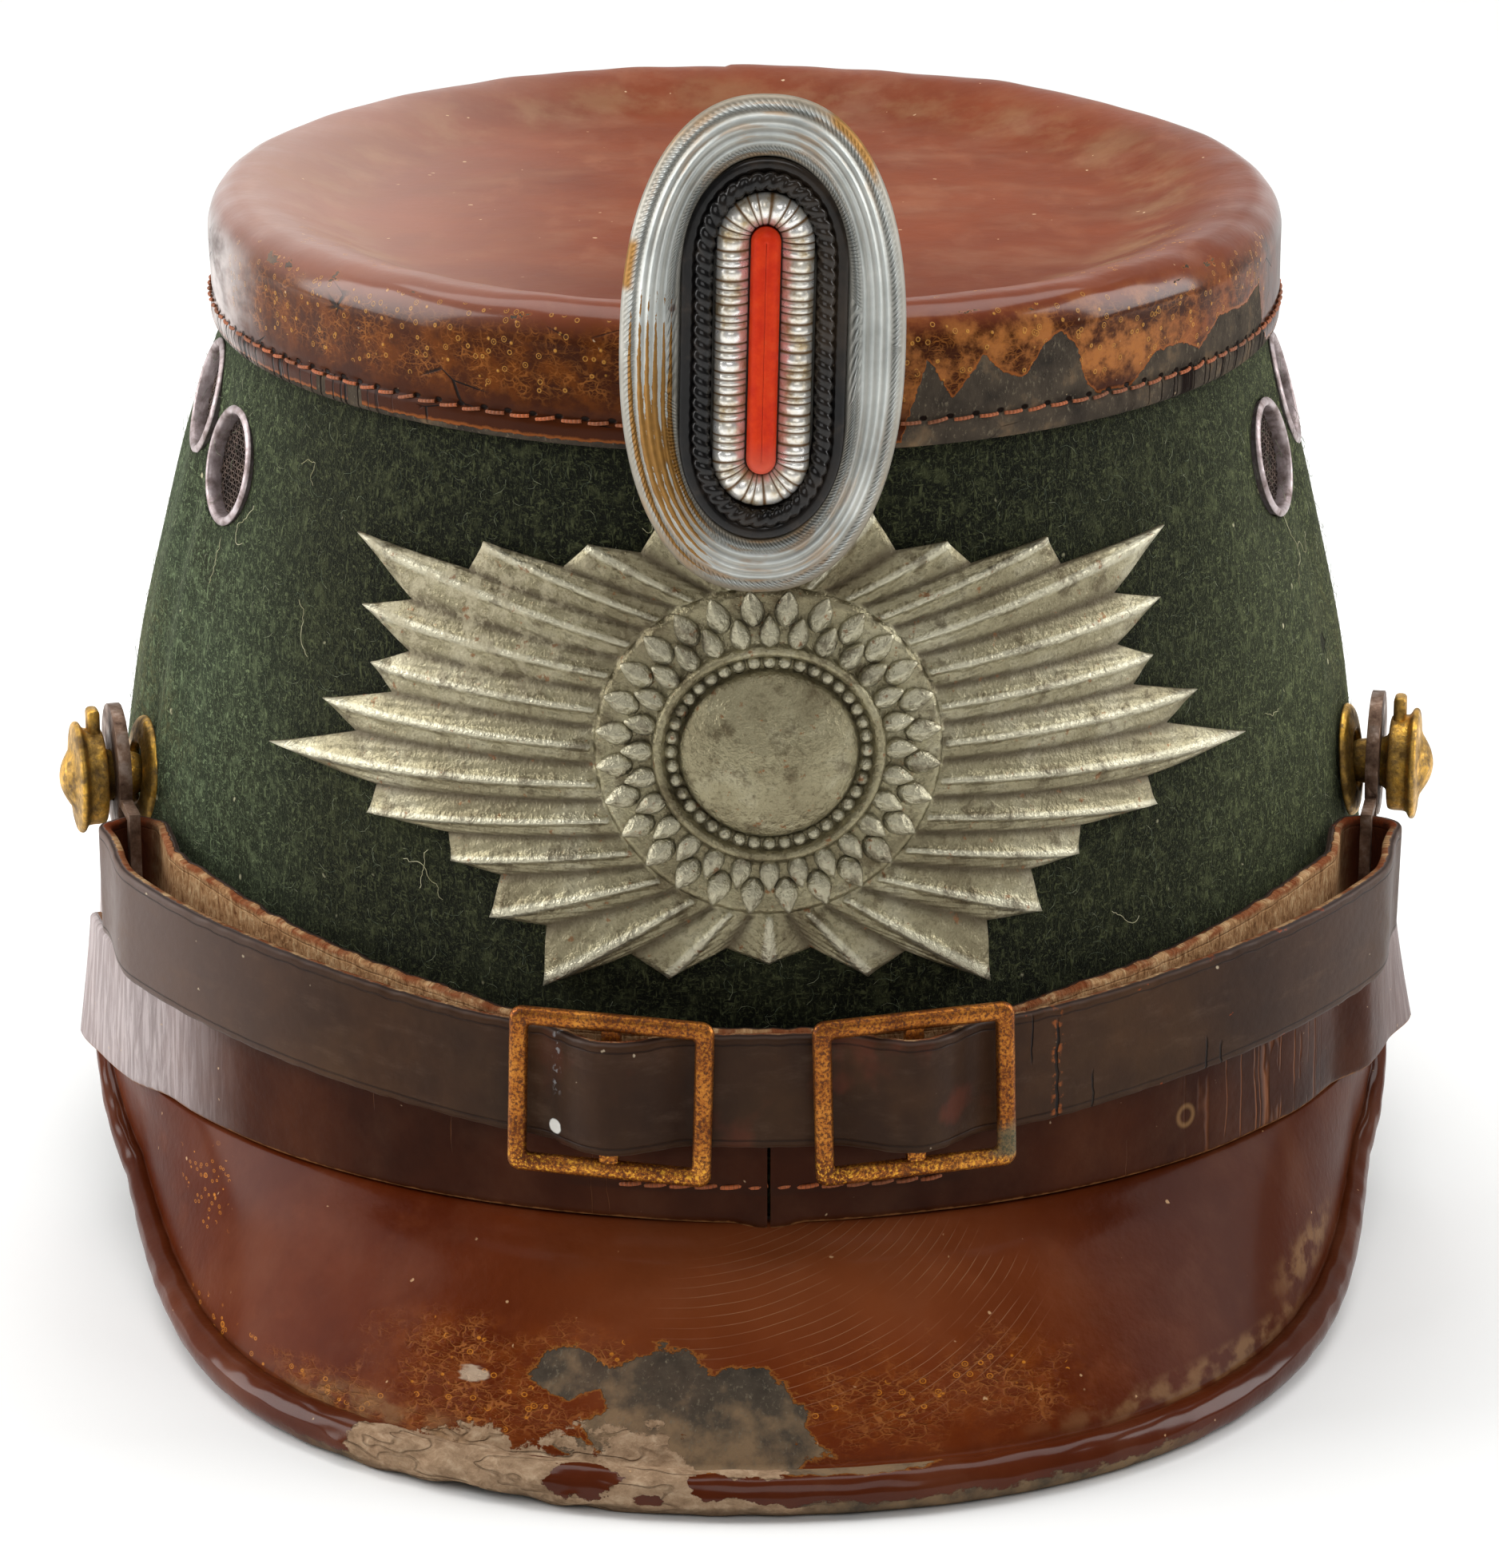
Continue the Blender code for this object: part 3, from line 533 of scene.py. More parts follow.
turns = np.linspace(-180, 180, 401)
heights = np.concatenate([np.linspace(0, 0.2, 8), np.linspace(0.2, 1, 74)[1:], [1.04, CLOTH_TOP]])
outer = [wall(turns[:-1], h, wall_folds(turns[:-1], h)) for h in heights]
inner = [wall(turns[:-1], h, -CLOTH_THICKNESS) for h in np.linspace(CLOTH_TOP, 0, 12)]
tall = CROWN_Z - BASE_Z
cloth_up = np.concatenate([heights * tall, -np.linspace(0.001, 0.095, 12), [-0.1]])
inside = np.array([0] * len(outer) + [1] * len(inner))[:, None]
cloth_mesh = skin("cloth_wall", outer + inner, round_length(turns), cloth_up, marks={"inside": inside})
cloth_wall = place("cloth_wall", cloth_mesh)

vent_cutters = []
for vent_place, degrees, height in VENTS:
    for side in SIDES.values():
        mould = bmesh.new()
        radii = dict.fromkeys(("radius1", "radius2"), VENT_RADIUS + 0.0001)
        seat = wall_frame(side * degrees, height)
        bmesh.ops.create_cone(mould, cap_ends=True, segments=48, depth=0.024, matrix=seat, **radii)
        punch = place("vent_punch", as_mesh("vent_punch", mould))
        step = cloth_wall.modifiers.new("vent", "BOOLEAN")
        step.object = punch
        step.operation = "DIFFERENCE"
        vent_cutters.append(punch)
cloth_mesh = plain_mesh(cloth_wall, "cloth_wall")
for punch in vent_cutters:
    bpy.data.objects.remove(punch)
cloth_mesh.shade_smooth()

sheen = {"Sheen_Weight": 0.24, "Sheen_Roughness": 0.45, "Sheen_Tint": paint(150, 158, 118)}
wool, r = new_material("green_wool", Specular_IOR_Level=0.15, **sheen)
where = r.place()
x_place = where.split()[0]
lengthways = where.stretch(z=0.3).noise(2300, 3, 0.6, 0.6)
slantways = where.stretch(0.35, turn=(0, 35, 20)).noise(2000, 3, 0.6, 0.8)
crossways = where.stretch(y=0.3, turn=(30, -40, 0)).noise(2500, 2, 0.6, 0.8)
nap = r.most(lengthways, slantways, crossways)
# Painted light: the sides are painted paler as sheen, and the left paler still as the light from that side.
painted_side_sheen = (x_place + 0.004).size().span(0.046, 0.074)
painted_left_light = x_place.span(-0.05, -0.074)
worn = where.noise(55, 4, 0.6)
ground = r.mix(painted_side_sheen, (9, 11, 5), (30, 34, 20))
fibre = r.mix(painted_side_sheen, (76, 80, 52), (110, 118, 80))
fibre = r.mix(painted_left_light, fibre, (114, 130, 96))
clumps = where.noise(430, 4, 0.7)
ground = r.over(
    ground,
    (painted_left_light, (34, 43, 30)),
    (worn.span(0.45, 0.75), (26, 29, 16)),
    (clumps.span(0.5, 0.72) * 0.45, fibre),
)
colour = r.mix(nap.span(0.54, 0.76), ground, fibre)
stain_spot = where.stray(110, 0.01, 4)
stain_x, stain_y, stain_z = stain_spot.split()
left_stain = stain_z.window(0.058, 0.084, 0.01) * stain_x.span(-0.068, -0.08) * stain_y.span(0.008, -0.01)
right_stain = stain_z.window(0.072, 0.09, 0.01) * stain_x.span(0.068, 0.08)
stain = r.sums("ADD", left_stain, right_stain, clamp=True) * where.patches(900, 0.35, 0.7, 4, 0.7)
lint = where.cells(260).span(0.13, 0.07) * where.patches(330, 0.62, 0.68, 1)
moth_hole = where.stray(700, 0.0012).far(wall(68, wall_share(0.08, -0.02))).span(0.0016, 0.001)
colour = r.over(
    colour,
    (stain * 0.3, (120, 108, 66)),
    (lint, (190, 185, 150)),
    (moth_hole, (20, 17, 12)),
)
r.set(Base_Color=colour, Roughness=0.95, Normal=r.relief(nap - moth_hole * 2, 0.0005))

brown = ((0.3, (62, 48, 36)), (0.7, (92, 74, 54)))
shell_board, r, where, _, _ = finish("shell_board", (140, 5, 0.6), *brown, Roughness=0.85)
r.set(Normal=r.relief(where.noise(1800, 4), 0.0002))

# The shell's own face shows inside the hat.
inside_mark = np.zeros(len(cloth_mesh.vertices), np.float32)
cloth_mesh.attributes["inside"].data.foreach_get("value", inside_mark)
face_inside = [min(inside_mark[v] for v in face.vertices) > 0.5 for face in cloth_mesh.polygons]
fit("cloth_wall", cloth_mesh, "cloth_body", "green_cloth", wool, shell_board)
cloth_mesh.polygons.foreach_set("material_index", [int(flag) for flag in face_inside])

# Loose fibres stand out of the nap all over the cloth, a millimetre or two long and curled.


def straight(g, count, **ends):
    """A line of evenly spaced points."""
    line = g.add("GeometryNodeCurvePrimitiveLine", **ends)
    return g.add("GeometryNodeResampleCurve", Curve=line, Count=count)


def moved(g, shape, x, y, z):
    return g.add("GeometryNodeSetPosition", Geometry=shape, Offset=g.join(x, y, z))


def tube(g, curve, radius, sides):
    circle = g.add("GeometryNodeCurvePrimitiveCircle", Resolution=sides, Radius=radius)
    return g.add("GeometryNodeCurveToMesh", Curve=curve, Profile_Curve=circle, Fill_Caps=True)


def stand(g, shape):
    """Stands the shape on each point, along the point's "sewn" and outward along its "out"."""
    kind = {"data_type": "FLOAT_VECTOR"}
    axes = [g.add("GeometryNodeInputNamedAttribute", kind, Name=name) for name in ("sewn", "out")]
    along_x_and_z = {"primary_axis": "X", "secondary_axis": "Z"}
    turn = g.add("FunctionNodeAxesToRotation", along_x_and_z, dict(enumerate(axes)))
    dots = g.add("GeometryNodeMeshToPoints", Mesh=g.given["Ground"])
    smooth = g.add("GeometryNodeSetShadeSmooth", Geometry=shape)
    return g.add("GeometryNodeInstanceOnPoints", Points=dots, Instance=smooth, Rotation=turn)


def done(g, shape):
    """Makes a tree's instances real, in the given finish."""
    solid = g.add("GeometryNodeRealizeInstances", Geometry=shape)
    g.set(Shape=g.add("GeometryNodeSetMaterial", Geometry=solid, Material=g.given["Finish"]))


def shape_nodes(name, **sizes):
    """An empty Geometry Nodes tree that takes a ground, sizes and a finish, and the recipe to fill it."""
    return node_group(name, "GeometryNodeTree", ("Shape",), Ground=None, **sizes, Finish=None)


def run_nodes(name, mesh, tree, **values):
    """The mesh that a Geometry Nodes tree makes of the given mesh, with its named inputs set."""
    carrier = bpy.data.objects.new(name, mesh)
    bpy.context.scene.collection.objects.link(carrier)
    modifier = carrier.modifiers.new(name, "NODES")
    modifier.node_group = tree
    for socket in tree.interface.items_tree:
        key = socket.name.replace(" ", "_")
        if socket.in_out == "INPUT" and key in values:
            modifier[socket.identifier] = values[key]
    return plain_mesh(carrier, name)


loose_nap, g = shape_nodes(
    "loose_nap", Fibres_per_Square_Metre=2e5, Fibre_Length=0.0016, Fibre_Radius=0.000018
)
density, length = g.given["Fibres per Square Metre"], g.given["Fibre Length"]
share = g.add("GeometryNodeSplineParameter")
strewn = g.add("GeometryNodeDistributePointsOnFaces", Mesh=g.given["Ground"], Density=density, Seed=7)
curl = g.sums("SINE", share * 3.6) * (length * 0.22)
hair = moved(g, straight(g, 4, End=g.join(length)), 0, curl, share * (length * 0.26))
hair = tube(g, hair, g.given["Fibre Radius"], 3)
angle = g.add("FunctionNodeRandomValue", {"data_type": "FLOAT"}, {3: math.tau}, Seed=3)[1]
spin = g.add("FunctionNodeEulerToRotation", None, {0: g.join(0, 0, angle)})
heading = g.add("FunctionNodeRotateRotation", {"rotation_space": "LOCAL"}, {0: strewn["Rotation"], 1: spin})
size = g.add("FunctionNodeRandomValue", {"data_type": "FLOAT"}, {2: 0.5, 3: 1.5}, Seed=9)[1]
done(g, g.add("GeometryNodeInstanceOnPoints", Points=strewn, Instance=hair, Rotation=heading, Scale=size))

greens = ((0.3, (52, 64, 48)), (0.52, (96, 108, 82)), (0.72, (168, 170, 138)))
wool_fibre = finish("wool_fibre", (900, 1), *greens, Roughness=0.8)[0]

fuzz_heights = np.linspace(0.205, 0.985, 40)
fuzz_turns = np.linspace(-180, 180, 241)
fuzz_rows = [wall(fuzz_turns[:-1], h, wall_folds(fuzz_turns[:-1], h)) for h in fuzz_heights]
fuzz_ground = skin("nap", fuzz_rows, round_length(fuzz_turns), fuzz_heights * tall, loop=False)
if fuzz_ground.polygons[60].normal.y > 0:
    fuzz_ground.flip_normals()
fuzz_mesh = run_nodes("cloth_nap", fuzz_ground, loose_nap, Fibres_per_Square_Metre=1.1e5, Finish=wool_fibre)
fit("cloth_nap", fuzz_mesh, None, "green_cloth", wool_fibre)

# Lint: a few long pale threads caught on the cloth.
LINT = (  # angle, share of the height, length in metres, heading in degrees
    (-32, 0.44, 0.01, -35), (-30, 0.4, 0.006, 80), (-45, 0.66, 0.009, 95),
    (-52, 0.9, 0.008, 70), (-58, 0.78, 0.01, -60), (-62, 0.7, 0.007, 100),
    (64, 0.78, 0.013, -50), (66, 0.72, 0.009, 60), (52, 0.55, 0.005, 30),
    (30, 0.36, 0.006, 10), (-12, 0.9, 0.004, 20), (110, 0.6, 0.009, 15),
    (-120, 0.5, 0.011, 70), (165, 0.65, 0.008, -25),
)
THREAD_RADIUS = 0.00004


def capped(rows, along, marks=None):
    """Closes both ends of a run of sections with a fan to the middle of each end section."""
    rows = np.asarray(rows, float)
    ends = [np.broadcast_to(rows[:, [i]].mean(axis=0, keepdims=True), rows[:, [i]].shape) for i in (0, -1)]
    along = np.concatenate([along[:1], along, along[-1:]])
    rows = np.concatenate([ends[0], rows, ends[1]], axis=1)
    shape = (rows.shape[0], rows.shape[1] - 2)
    marks = {key: np.broadcast_to(values, shape) for key, values in (marks or {}).items()}
    marks = {key: np.pad(values, ((0, 0), (1, 1)), "edge") for key, values in marks.items()}
    return rows, along, marks


def joined(name, *meshes):
    """Several closed meshes as one."""
    worked = bmesh.new()
    for mesh in meshes:
        worked.from_mesh(mesh)
    whole = as_mesh(name, worked)
    whole.shade_smooth()
    return whole


def threads():
    rng = np.random.default_rng(21)
    steps = 16
    for degrees, share, length, heading in LINT:
        bend = np.radians(np.cumsum(rng.normal(0, 26, steps)) + heading)
        degrees = degrees + np.cumsum(np.cos(bend)) * length / steps / 0.0017
        share = np.clip(share + np.cumsum(np.sin(bend)) * length / steps / tall, 0.21, 0.97)
        centre = wall(degrees, share, 0.00016 + 0.00025 * rng.random(steps) + wall_folds(degrees, share))
        ahead = np.gradient(centre, axis=0)
        side = np.cross(ahead, (0.3, 0.5, 0.8))
        across = [v / np.linalg.norm(v, axis=1)[:, None] for v in (side, np.cross(ahead, side))]
        corners = ((1, 0), (0, 1), (-1, 0), (0, -1))
        ring = [centre + THREAD_RADIUS * (x * across[0] + y * across[1]) for x, y in corners]
        rows, along, _ = capped(ring, np.linspace(0, length, steps))
        yield skin("thread", rows, along, np.arange(5) * THREAD_RADIUS, around=False)


straw = ((0.35, (150, 145, 105)), (0.6, (205, 200, 165)))
pale_lint = finish("pale_lint", (300, 2), *straw, Roughness=0.8)[0]
fit("lint", joined("lint", *threads()), None, "green_cloth", pale_lint)

# ---- crown ----
# One piece of leather moulded wet over a block: a dished top, a rolled rim and a skirt, lacquered brown over
# a black ground. The lacquer has blistered along the rim and flaked off the skirt in front, where the dark
# ground shows.

SKIRT_HEIGHT = 0.016
ROLL_RADIUS = 0.0045
DISH_DEPTH = 0.0045
DISH_WIDTH = 0.017
SEAM_RISE = 0.003  # of the stitch row above the skirt's edge
SKIRT_STITCHES = 144
FLAKED_EDGE = (  # metres round the skirt from the front, and how far up from its edge the lacquer is gone
    (0.015, 0), (0.0185, 0.01), (0.0215, 0.005), (0.0255, 0.0098), (0.0285, 0.0072), (0.031, 0.0066),
    (0.034, 0.0102), (0.0362, 0.0112), (0.0388, 0.0092), (0.0404, 0.0046), (0.0425, 0.0029),
    (0.0485, 0.0029), (0.0505, 0.0046), (0.053, 0.0062), (0.0585, 0.0062), (0.0625, 0.0047),
    (0.0675, 0.0078), (0.076, 0.0074), (0.082, 0.0088), (0.085, 0.002), (0.088, 0),
)


def cap_ring(degrees, inset, rise):
    """Points round the crown, in from its skirt's face and up from the skirt's edge."""
    inset, rise = np.broadcast_arrays(inset, rise)
    x, y = oval(CROWN, degrees, -inset)
    return np.stack([x, y, crown_height(y) + rise], -1)


# (inset, rise) over the crown's section, from the skirt's edge up over the roll and down into the dish
section = [(0.0016, 0), (0.001, 0), (0.0004, 0.0001), (0.0001, 0.0004)]
section += [(0, h) for h in np.linspace(0.0008, SKIRT_HEIGHT - ROLL_RADIUS, 34)]
section += [
    (ROLL_RADIUS * (1 - math.cos(a)), SKIRT_HEIGHT - ROLL_RADIUS * (1 - math.sin(a)))
    for a in np.radians(np.linspace(6, 90, 17))
]
section += [
    (ROLL_RADIUS + DISH_WIDTH * share, SKIRT_HEIGHT - DISH_DEPTH * (0.5 - 0.5 * math.cos(math.pi * share)))
    for share in np.linspace(0.05, 1, 24)
]
section = np.array(section)
over = running(np.hypot(*np.diff(section, axis=0).T))
over -= over[3]
CAP_COLUMNS = 480
cap_turns = np.linspace(-180, 180, CAP_COLUMNS + 1)
cap_along = round_length(cap_turns, CROWN)
rows, cap_up = [], []
for (inset, rise), up in zip(section, over):
    skirt_share = smooth_step(0, 0.002, up) * smooth_step(0.014, 0.01, up)
    uneven = 0.0001 * ripple(cap_along[:-1], up, 0.012, 11) + 0.00016 * ripple(cap_along[:-1], up, 0.034, 12)
    stitch_groove = 0.00022 * hump(up, SEAM_RISE, 0.0005) - 0.00012 * hump(up, SEAM_RISE - 0.0014, 0.001)
    inset = inset + (stitch_groove - uneven * 0.7) * skirt_share
    rise = rise + uneven * smooth_step(0.01, 0.015, up) * smooth_step(0.026, 0.02, up)
    rows.append(cap_ring(cap_turns[:-1], inset, rise))
    cap_up.append(up)
rim, floor_rise = rows[-1], SKIRT_HEIGHT - DISH_DEPTH
middle = np.array([0, CROWN[2], crown_height(CROWN[2]) + floor_rise])
for share in np.concatenate([np.linspace(0.93, 0.07, 14), [0]]):
    ring = middle + (rim - middle) * share
    ring[:, 2] += 0.00035 * ripple(ring[:, 0], ring[:, 1], 0.045, 13) * smooth_step(1, 0.7, share)
    if share == 0:
        ring[:] = ring[0]
    rows.append(ring)
    cap_up.append(over[-1] + (1 - share) * 0.05)
under = floor_rise - SKIRT_THICKNESS
inner_wall = cap_ring(cap_turns[:-1], SKIRT_THICKNESS, under - 0.001)
under_middle = middle - np.array([0, 0, SKIRT_THICKNESS])
under_rows = [np.tile(under_middle, (CAP_COLUMNS, 1))]
under_rows += [under_middle + (inner_wall - under_middle) * 0.9, inner_wall]
under_rows += [cap_ring(cap_turns[:-1], SKIRT_THICKNESS, rise) for rise in (0.005, 0.0004)]
inside = np.array([0] * len(rows) + [1] * len(under_rows))[:, None]
cap_mesh = skin("crown_cap", rows + under_rows, cap_along, cap_up + [-0.06, -0.02, -0.01, -0.005, -0.002, 0],
                marks={"inside": inside})

# Leather grain: fine pores under larger soft pebbles.
grain, r, where = shared_effect("leather_grain", "Height", Size=1)
sized = where.scaled(r.given["Size"])
r.set(Height=sized.cells(1100, "SMOOTH_F1") * 0.7 + sized.noise(3800, 2) * 0.3)

# Old lacquer: brown, redder where it is thick and orange where it has thinned, with ring-shaped blisters.
# Depth is positive where it has flaked away; Blisters and Thin say how much of each there is.
old_lacquer, r, where = shared_effect(
    "old_lacquer", "Gone", "Rim", "Ring", "Amber", Depth=-1, Blisters=0, Thin=0
)
r.set(
    Gone=r.given["Depth"].span(0, 0.0001),
    Rim=r.given["Depth"].span(-0.00045, -0.00005) * r.given["Depth"].span(0.00012, 0.00002),
)
cell = where.cells(640)
rings = r.most(cell.window(0.17, 0.22, 0.035), cell.span(0.1, 0.05) * 0.5)
crowd = where.noise(170, 3) * 0.7 + where.noise(640, 0) * 0.3
enough = 0.78 - r.given["Blisters"] * 0.44
r.set(Ring=rings * (crowd - enough).span(0, 0.03))
glow = where.noise(210, 5, 0.66)
r.set(Amber=glow.span(0.42, 0.64) * r.given["Thin"])

# Crazing: a net of fine cracks in dried lacquer, pulled out along the way the leather bends.
crazing, r, where = shared_effect("crazing", "Crack", "Flakes", Amount=0)
pulled = where.stray(700, 0.0005).stretch(0.55, turn=-14)
net, fine_net = pulled.edges(900), pulled.edges(2100)
broken = where.patches(520, 0.34, 0.52, 3, 0.6)
near = (r.given["Amount"] + (where.noise(240, 4, 0.65) - 0.5) * 2.4).span(0, 0.9)
r.set(
    Crack=near * (broken * r.most(net.span(0.075, 0.02), fine_net.span(0.1, 0.02) * 0.6)),
    Flakes=near * net.span(0, 0.25),
)

# Where lacquer is gone the black ground shows, with the woven marks of the leather's flesh, paler if rubbed.
bare_ground, r, where = shared_effect("bare_ground", "Colour", "Weave", Rubbed=0)
weave = where.stretch(z=0.5).noise(2200, 3, 0.7)
blotch = where.noise(230, 4, 0.6) + r.given["Rubbed"] * 0.22
colour = blotch.ramp((0.28, (48, 43, 38)), (0.55, (74, 65, 55)), (0.78, (122, 100, 76)))
r.set(Colour=r.mix(weave.span(0.55, 0.75), colour, (108, 98, 82)), Weave=weave)

browns = ((0.3, (102, 47, 26)), (0.62, (120, 59, 34)), (0.8, (130, 68, 42)))
lacquer = {"Specular_IOR_Level": 0.05, "Coat_Roughness": 0.14, "Coat_IOR": 1.45}
crown_lacquer, r, where, tone, colour = finish("crown_lacquer", (42, 5, 0.62), *browns, **lacquer)
flat = r.flat()
along, up, _ = flat.split()
ragged = flat.stray(1300, 0.00045, 4)
ragged_along, ragged_up, _ = ragged.split()
start, length = 0.01, 0.09  # of the stretch of skirt that the ramp covers
stops = [(0, 0), *(((at - start) / length, high / SKIRT_HEIGHT) for at, high in FLAKED_EDGE), (1, 0)]
reach = ((ragged_along - start) * (1 / length)).ramp(*stops)
depth = reach * SKIRT_HEIGHT - ragged_up
below_seam = ragged_along.window(0.0225, 0.05, 0.0004) * ragged_up.span(SEAM_RISE, SEAM_RISE - 0.0003)
block = r.join(along * 330, 0.5).cells(1, output="Color").split()[0]
left_blocks = block.span(0.88, 0.89) * along.span(-0.045, -0.05)
right_blocks = block.span(0.45, 0.46) * along.window(0.056, 0.082, 0.001)
blocks = r.most(left_blocks, right_blocks) * ragged_up.span(SEAM_RISE - 0.0002, SEAM_RISE - 0.0006)
rim_chip = flat.stretch(0.55).noise(260, 5, 0.62)
rim_zone = up.window(0.0125, 0.0165, 0.0015) * along.window(-0.095, 0.085, 0.01)
rim_chips = (rim_chip * rim_zone - 0.615) * 0.02
edge_wear = flat.noise(900, 4, 0.6) * 0.0009 - up
depth = r.most(depth, r.most(below_seam, blocks) * 0.002 - 0.001, r.most(rim_chips, edge_wear))
front = along.window(-0.092, 0.09, 0.014)
thin = front * up.window(0.004, 0.014, 0.0022)
blisters = front * (up.window(0.005, 0.015, 0.0012) + up.window(0.018, 0.03, 0.003) * 0.8)
coat = r.effect(old_lacquer, Place=flat, Depth=depth, Blisters=blisters, Thin=thin)
streaks = where.stretch(y=0.35, turn=12).noise(190, 4, 0.6)
skirt = up.span(0.015, 0.0115)
amber = r.mix(along.span(-0.02, 0.03), (100, 50, 10), (172, 108, 56))
amber = r.mix(along.span(0.05, 0.064), amber, (128, 66, 24))
crazed = r.effect(crazing, Place=flat, Amount=thin - 0.55)
ground = r.effect(bare_ground, Place=where)
settled = r.effect(dust, Place=where, Amount=0.9)
valley = up.window(0.0235, 0.033, 0.0035) * where.patches(120, 0.4, 0.66, 5, 0.6)
x_place, y_place, _ = where.split()
front_dish = y_place.span(-0.03, -0.08)
top_film = settled["Film"] * up.span(0.016, 0.022)
# Painted sheen: the left of the crown is paler, a dust film with painted sheen from the left light.
left_dust_and_sheen = x_place.span(-0.01, -0.07) * up.span(0.01, 0.02)
# Painted glare: the far left of the skirt is painted pale, as a bloom on the lacquer.
left_bloom_and_glare = x_place.span(-0.0585, -0.067) * streaks.span(0.3, 0.64) * y_place.span(-0.01, -0.034)
raw = r.mix(where.noise(400, 4), (96, 66, 42), (128, 94, 62))
flaw = flat.stretch(0.45, turn=62).edges(150)
cracked = flaw.span(0.012, 0.004) * flat.patches(60, 0.58, 0.63, 2) * up.span(0.015, 0.012)
slit = r.join(along * 420, 0).edges(1)
slits = slit.span(0.05, 0.015) * up.span(SEAM_RISE, SEAM_RISE - 0.0002) * along.size().span(0.045, 0.055)
pitch = cap_along[-1] * 2 / SKIRT_STITCHES
from_hole = (r.sums("FRACT", r.sums("DIVIDE", along + cap_along[-1], pitch)) - 0.5) * pitch
from_seam = up - SEAM_RISE
to_hole = r.sums("SQRT", from_hole * from_hole + from_seam * from_seam * 3)
holes = to_hole.span(0.00062, 0.00036)
dark_line = r.most(cracked, slits, holes)
r.set(Base_Color=r.over(
    colour,
    (streaks.span(0.52, 0.74) * 0.35, (138, 84, 58)),
    (skirt, tone.ramp((0.3, (50, 21, 7)), (0.75, (74, 34, 12)))),
    (coat["Amber"] * 0.85, amber),
    (crazed["Crack"] * 0.55, (168, 104, 46)),
    (coat["Ring"] * 0.8, (206, 146, 62)),
    (coat["Gone"], ground["Colour"]),
    (coat["Rim"] * 0.7, (150, 84, 36)),
    # painted shade: the front of the dish, under the roll, is darker
    (front_dish * up.span(0.02, 0.024) * 0.55, (80, 34, 16)),
    (valley * (front_dish * 0.2 + 0.22), (158, 134, 96)),
    (left_dust_and_sheen * 0.46, (200, 176, 166)),
    (left_bloom_and_glare * skirt * 0.8, (214, 204, 200)),
    (top_film * 0.22, (170, 140, 118)),
    (settled["Specks"] * 0.8, (214, 186, 150)),
    (r.mark("inside"), raw),
    (dark_line, (24, 15, 11)),
))
gloss = tone * 0.16 + 0.24 + top_film * 0.25 + up.span(0.018, 0.026) * 0.24
unlacquered = r.most(coat["Gone"], r.mark("inside"))
varnish = (1 - unlacquered) * r.blend(up.window(0.0118, 0.0165, 0.0012), 0.05, 0.55)
r.set(Roughness=r.blend(unlacquered, gloss, 0.85), Coat_Weight=varnish * up.span(0.03, 0.018, 0.1))
pebble = r.effect(grain, Place=where, Size=0.8)
dents = where.noise(260, 3)
height = (1 - coat["Gone"]) * 1 + ground["Weave"] * (coat["Gone"] * 0.6)
height = height + coat["Ring"] * 0.5 - dark_line
r.set(Normal=r.relief(height, 0.00016, r.relief(pebble * 0.14 + dents * 0.5, 0.00022)))
fit("crown_cap_leather", cap_mesh, "crown_cap", "brown_lacquer", crown_lacquer)

# The skirt is sewn to the cloth with waxed linen thread, in even stitches that dip into punched holes.


stitch_row, g = shape_nodes("stitch_row", Stitch_Length=0.0024, Thread_Radius=0.0003, Rise=0.0003)
half, radius = g.given["Stitch Length"] * 0.5, g.given["Thread Radius"]
share = g.add("GeometryNodeSplineParameter")
lift = (g.sums("SINE", share * math.pi) - 0.45) * g.given["Rise"]
bowed = straight(g, 8, Start=g.join(half * -1), End=g.join(half))
bowed = moved(g, bowed, 0, (share - 0.5) * (radius * 0.9), lift)
kind = {"data_type": "FLOAT", "domain": "POINT"}
marked = g.add("GeometryNodeStoreNamedAttribute", kind, Geometry=bowed, Name="ply", Value=share)
done(g, stand(g, tube(g, marked, radius, 7)))


def settings(name, points, sewn, out):
    """Loose points for small pieces to stand on."""
    mesh = bpy.data.meshes.new(name)
    mesh.from_pydata(points, [], [])
    for key, values in (("sewn", sewn), ("out", out)):
        spread = np.ascontiguousarray(values, dtype=np.float32)
        mesh.attributes.new(key, "FLOAT_VECTOR", "POINT").data.foreach_set("vector", spread.ravel())
    return mesh


def sew(name, points, sewn, out, thread, length, radius, rise=0.00032):
    """A row of stitches at the points, as a mesh."""
    seats = settings(name, points, sewn, out)
    sizes = {"Stitch_Length": length, "Thread_Radius": radius, "Rise": rise}
    return run_nodes(name, seats, stitch_row, Finish=thread, **sizes)


rusts = ((0.34, (92, 44, 20)), (0.5, (132, 62, 26)), (0.66, (172, 80, 30)))
linen_thread, r, where, _, colour = finish("linen_thread", (130, 3), *rusts, Roughness=0.7)
ply = r.sums("FRACT", r.mark("ply") * 5)
fibres = where.noise(2600, 3)
# Painted shade: darker in the grooves between the thread's plies.
colour = r.mix(ply.span(0.22, 0.04), colour, (70, 34, 18))
r.set(
    Base_Color=r.mix(fibres * 0.3, colour, (214, 140, 84)),
    Normal=r.relief(r.sums("PINGPONG", ply, 0.5) + fibres * 0.3, 0.00014),
)


def even_turns(count, shape, start=-180, end=180):
    """Angles at even steps of length round an oval."""
    fine = np.linspace(start, end, 2400)
    length = round_length(fine, shape)
    return np.interp(np.linspace(length[0], length[-1], count, endpoint=False), length, fine)


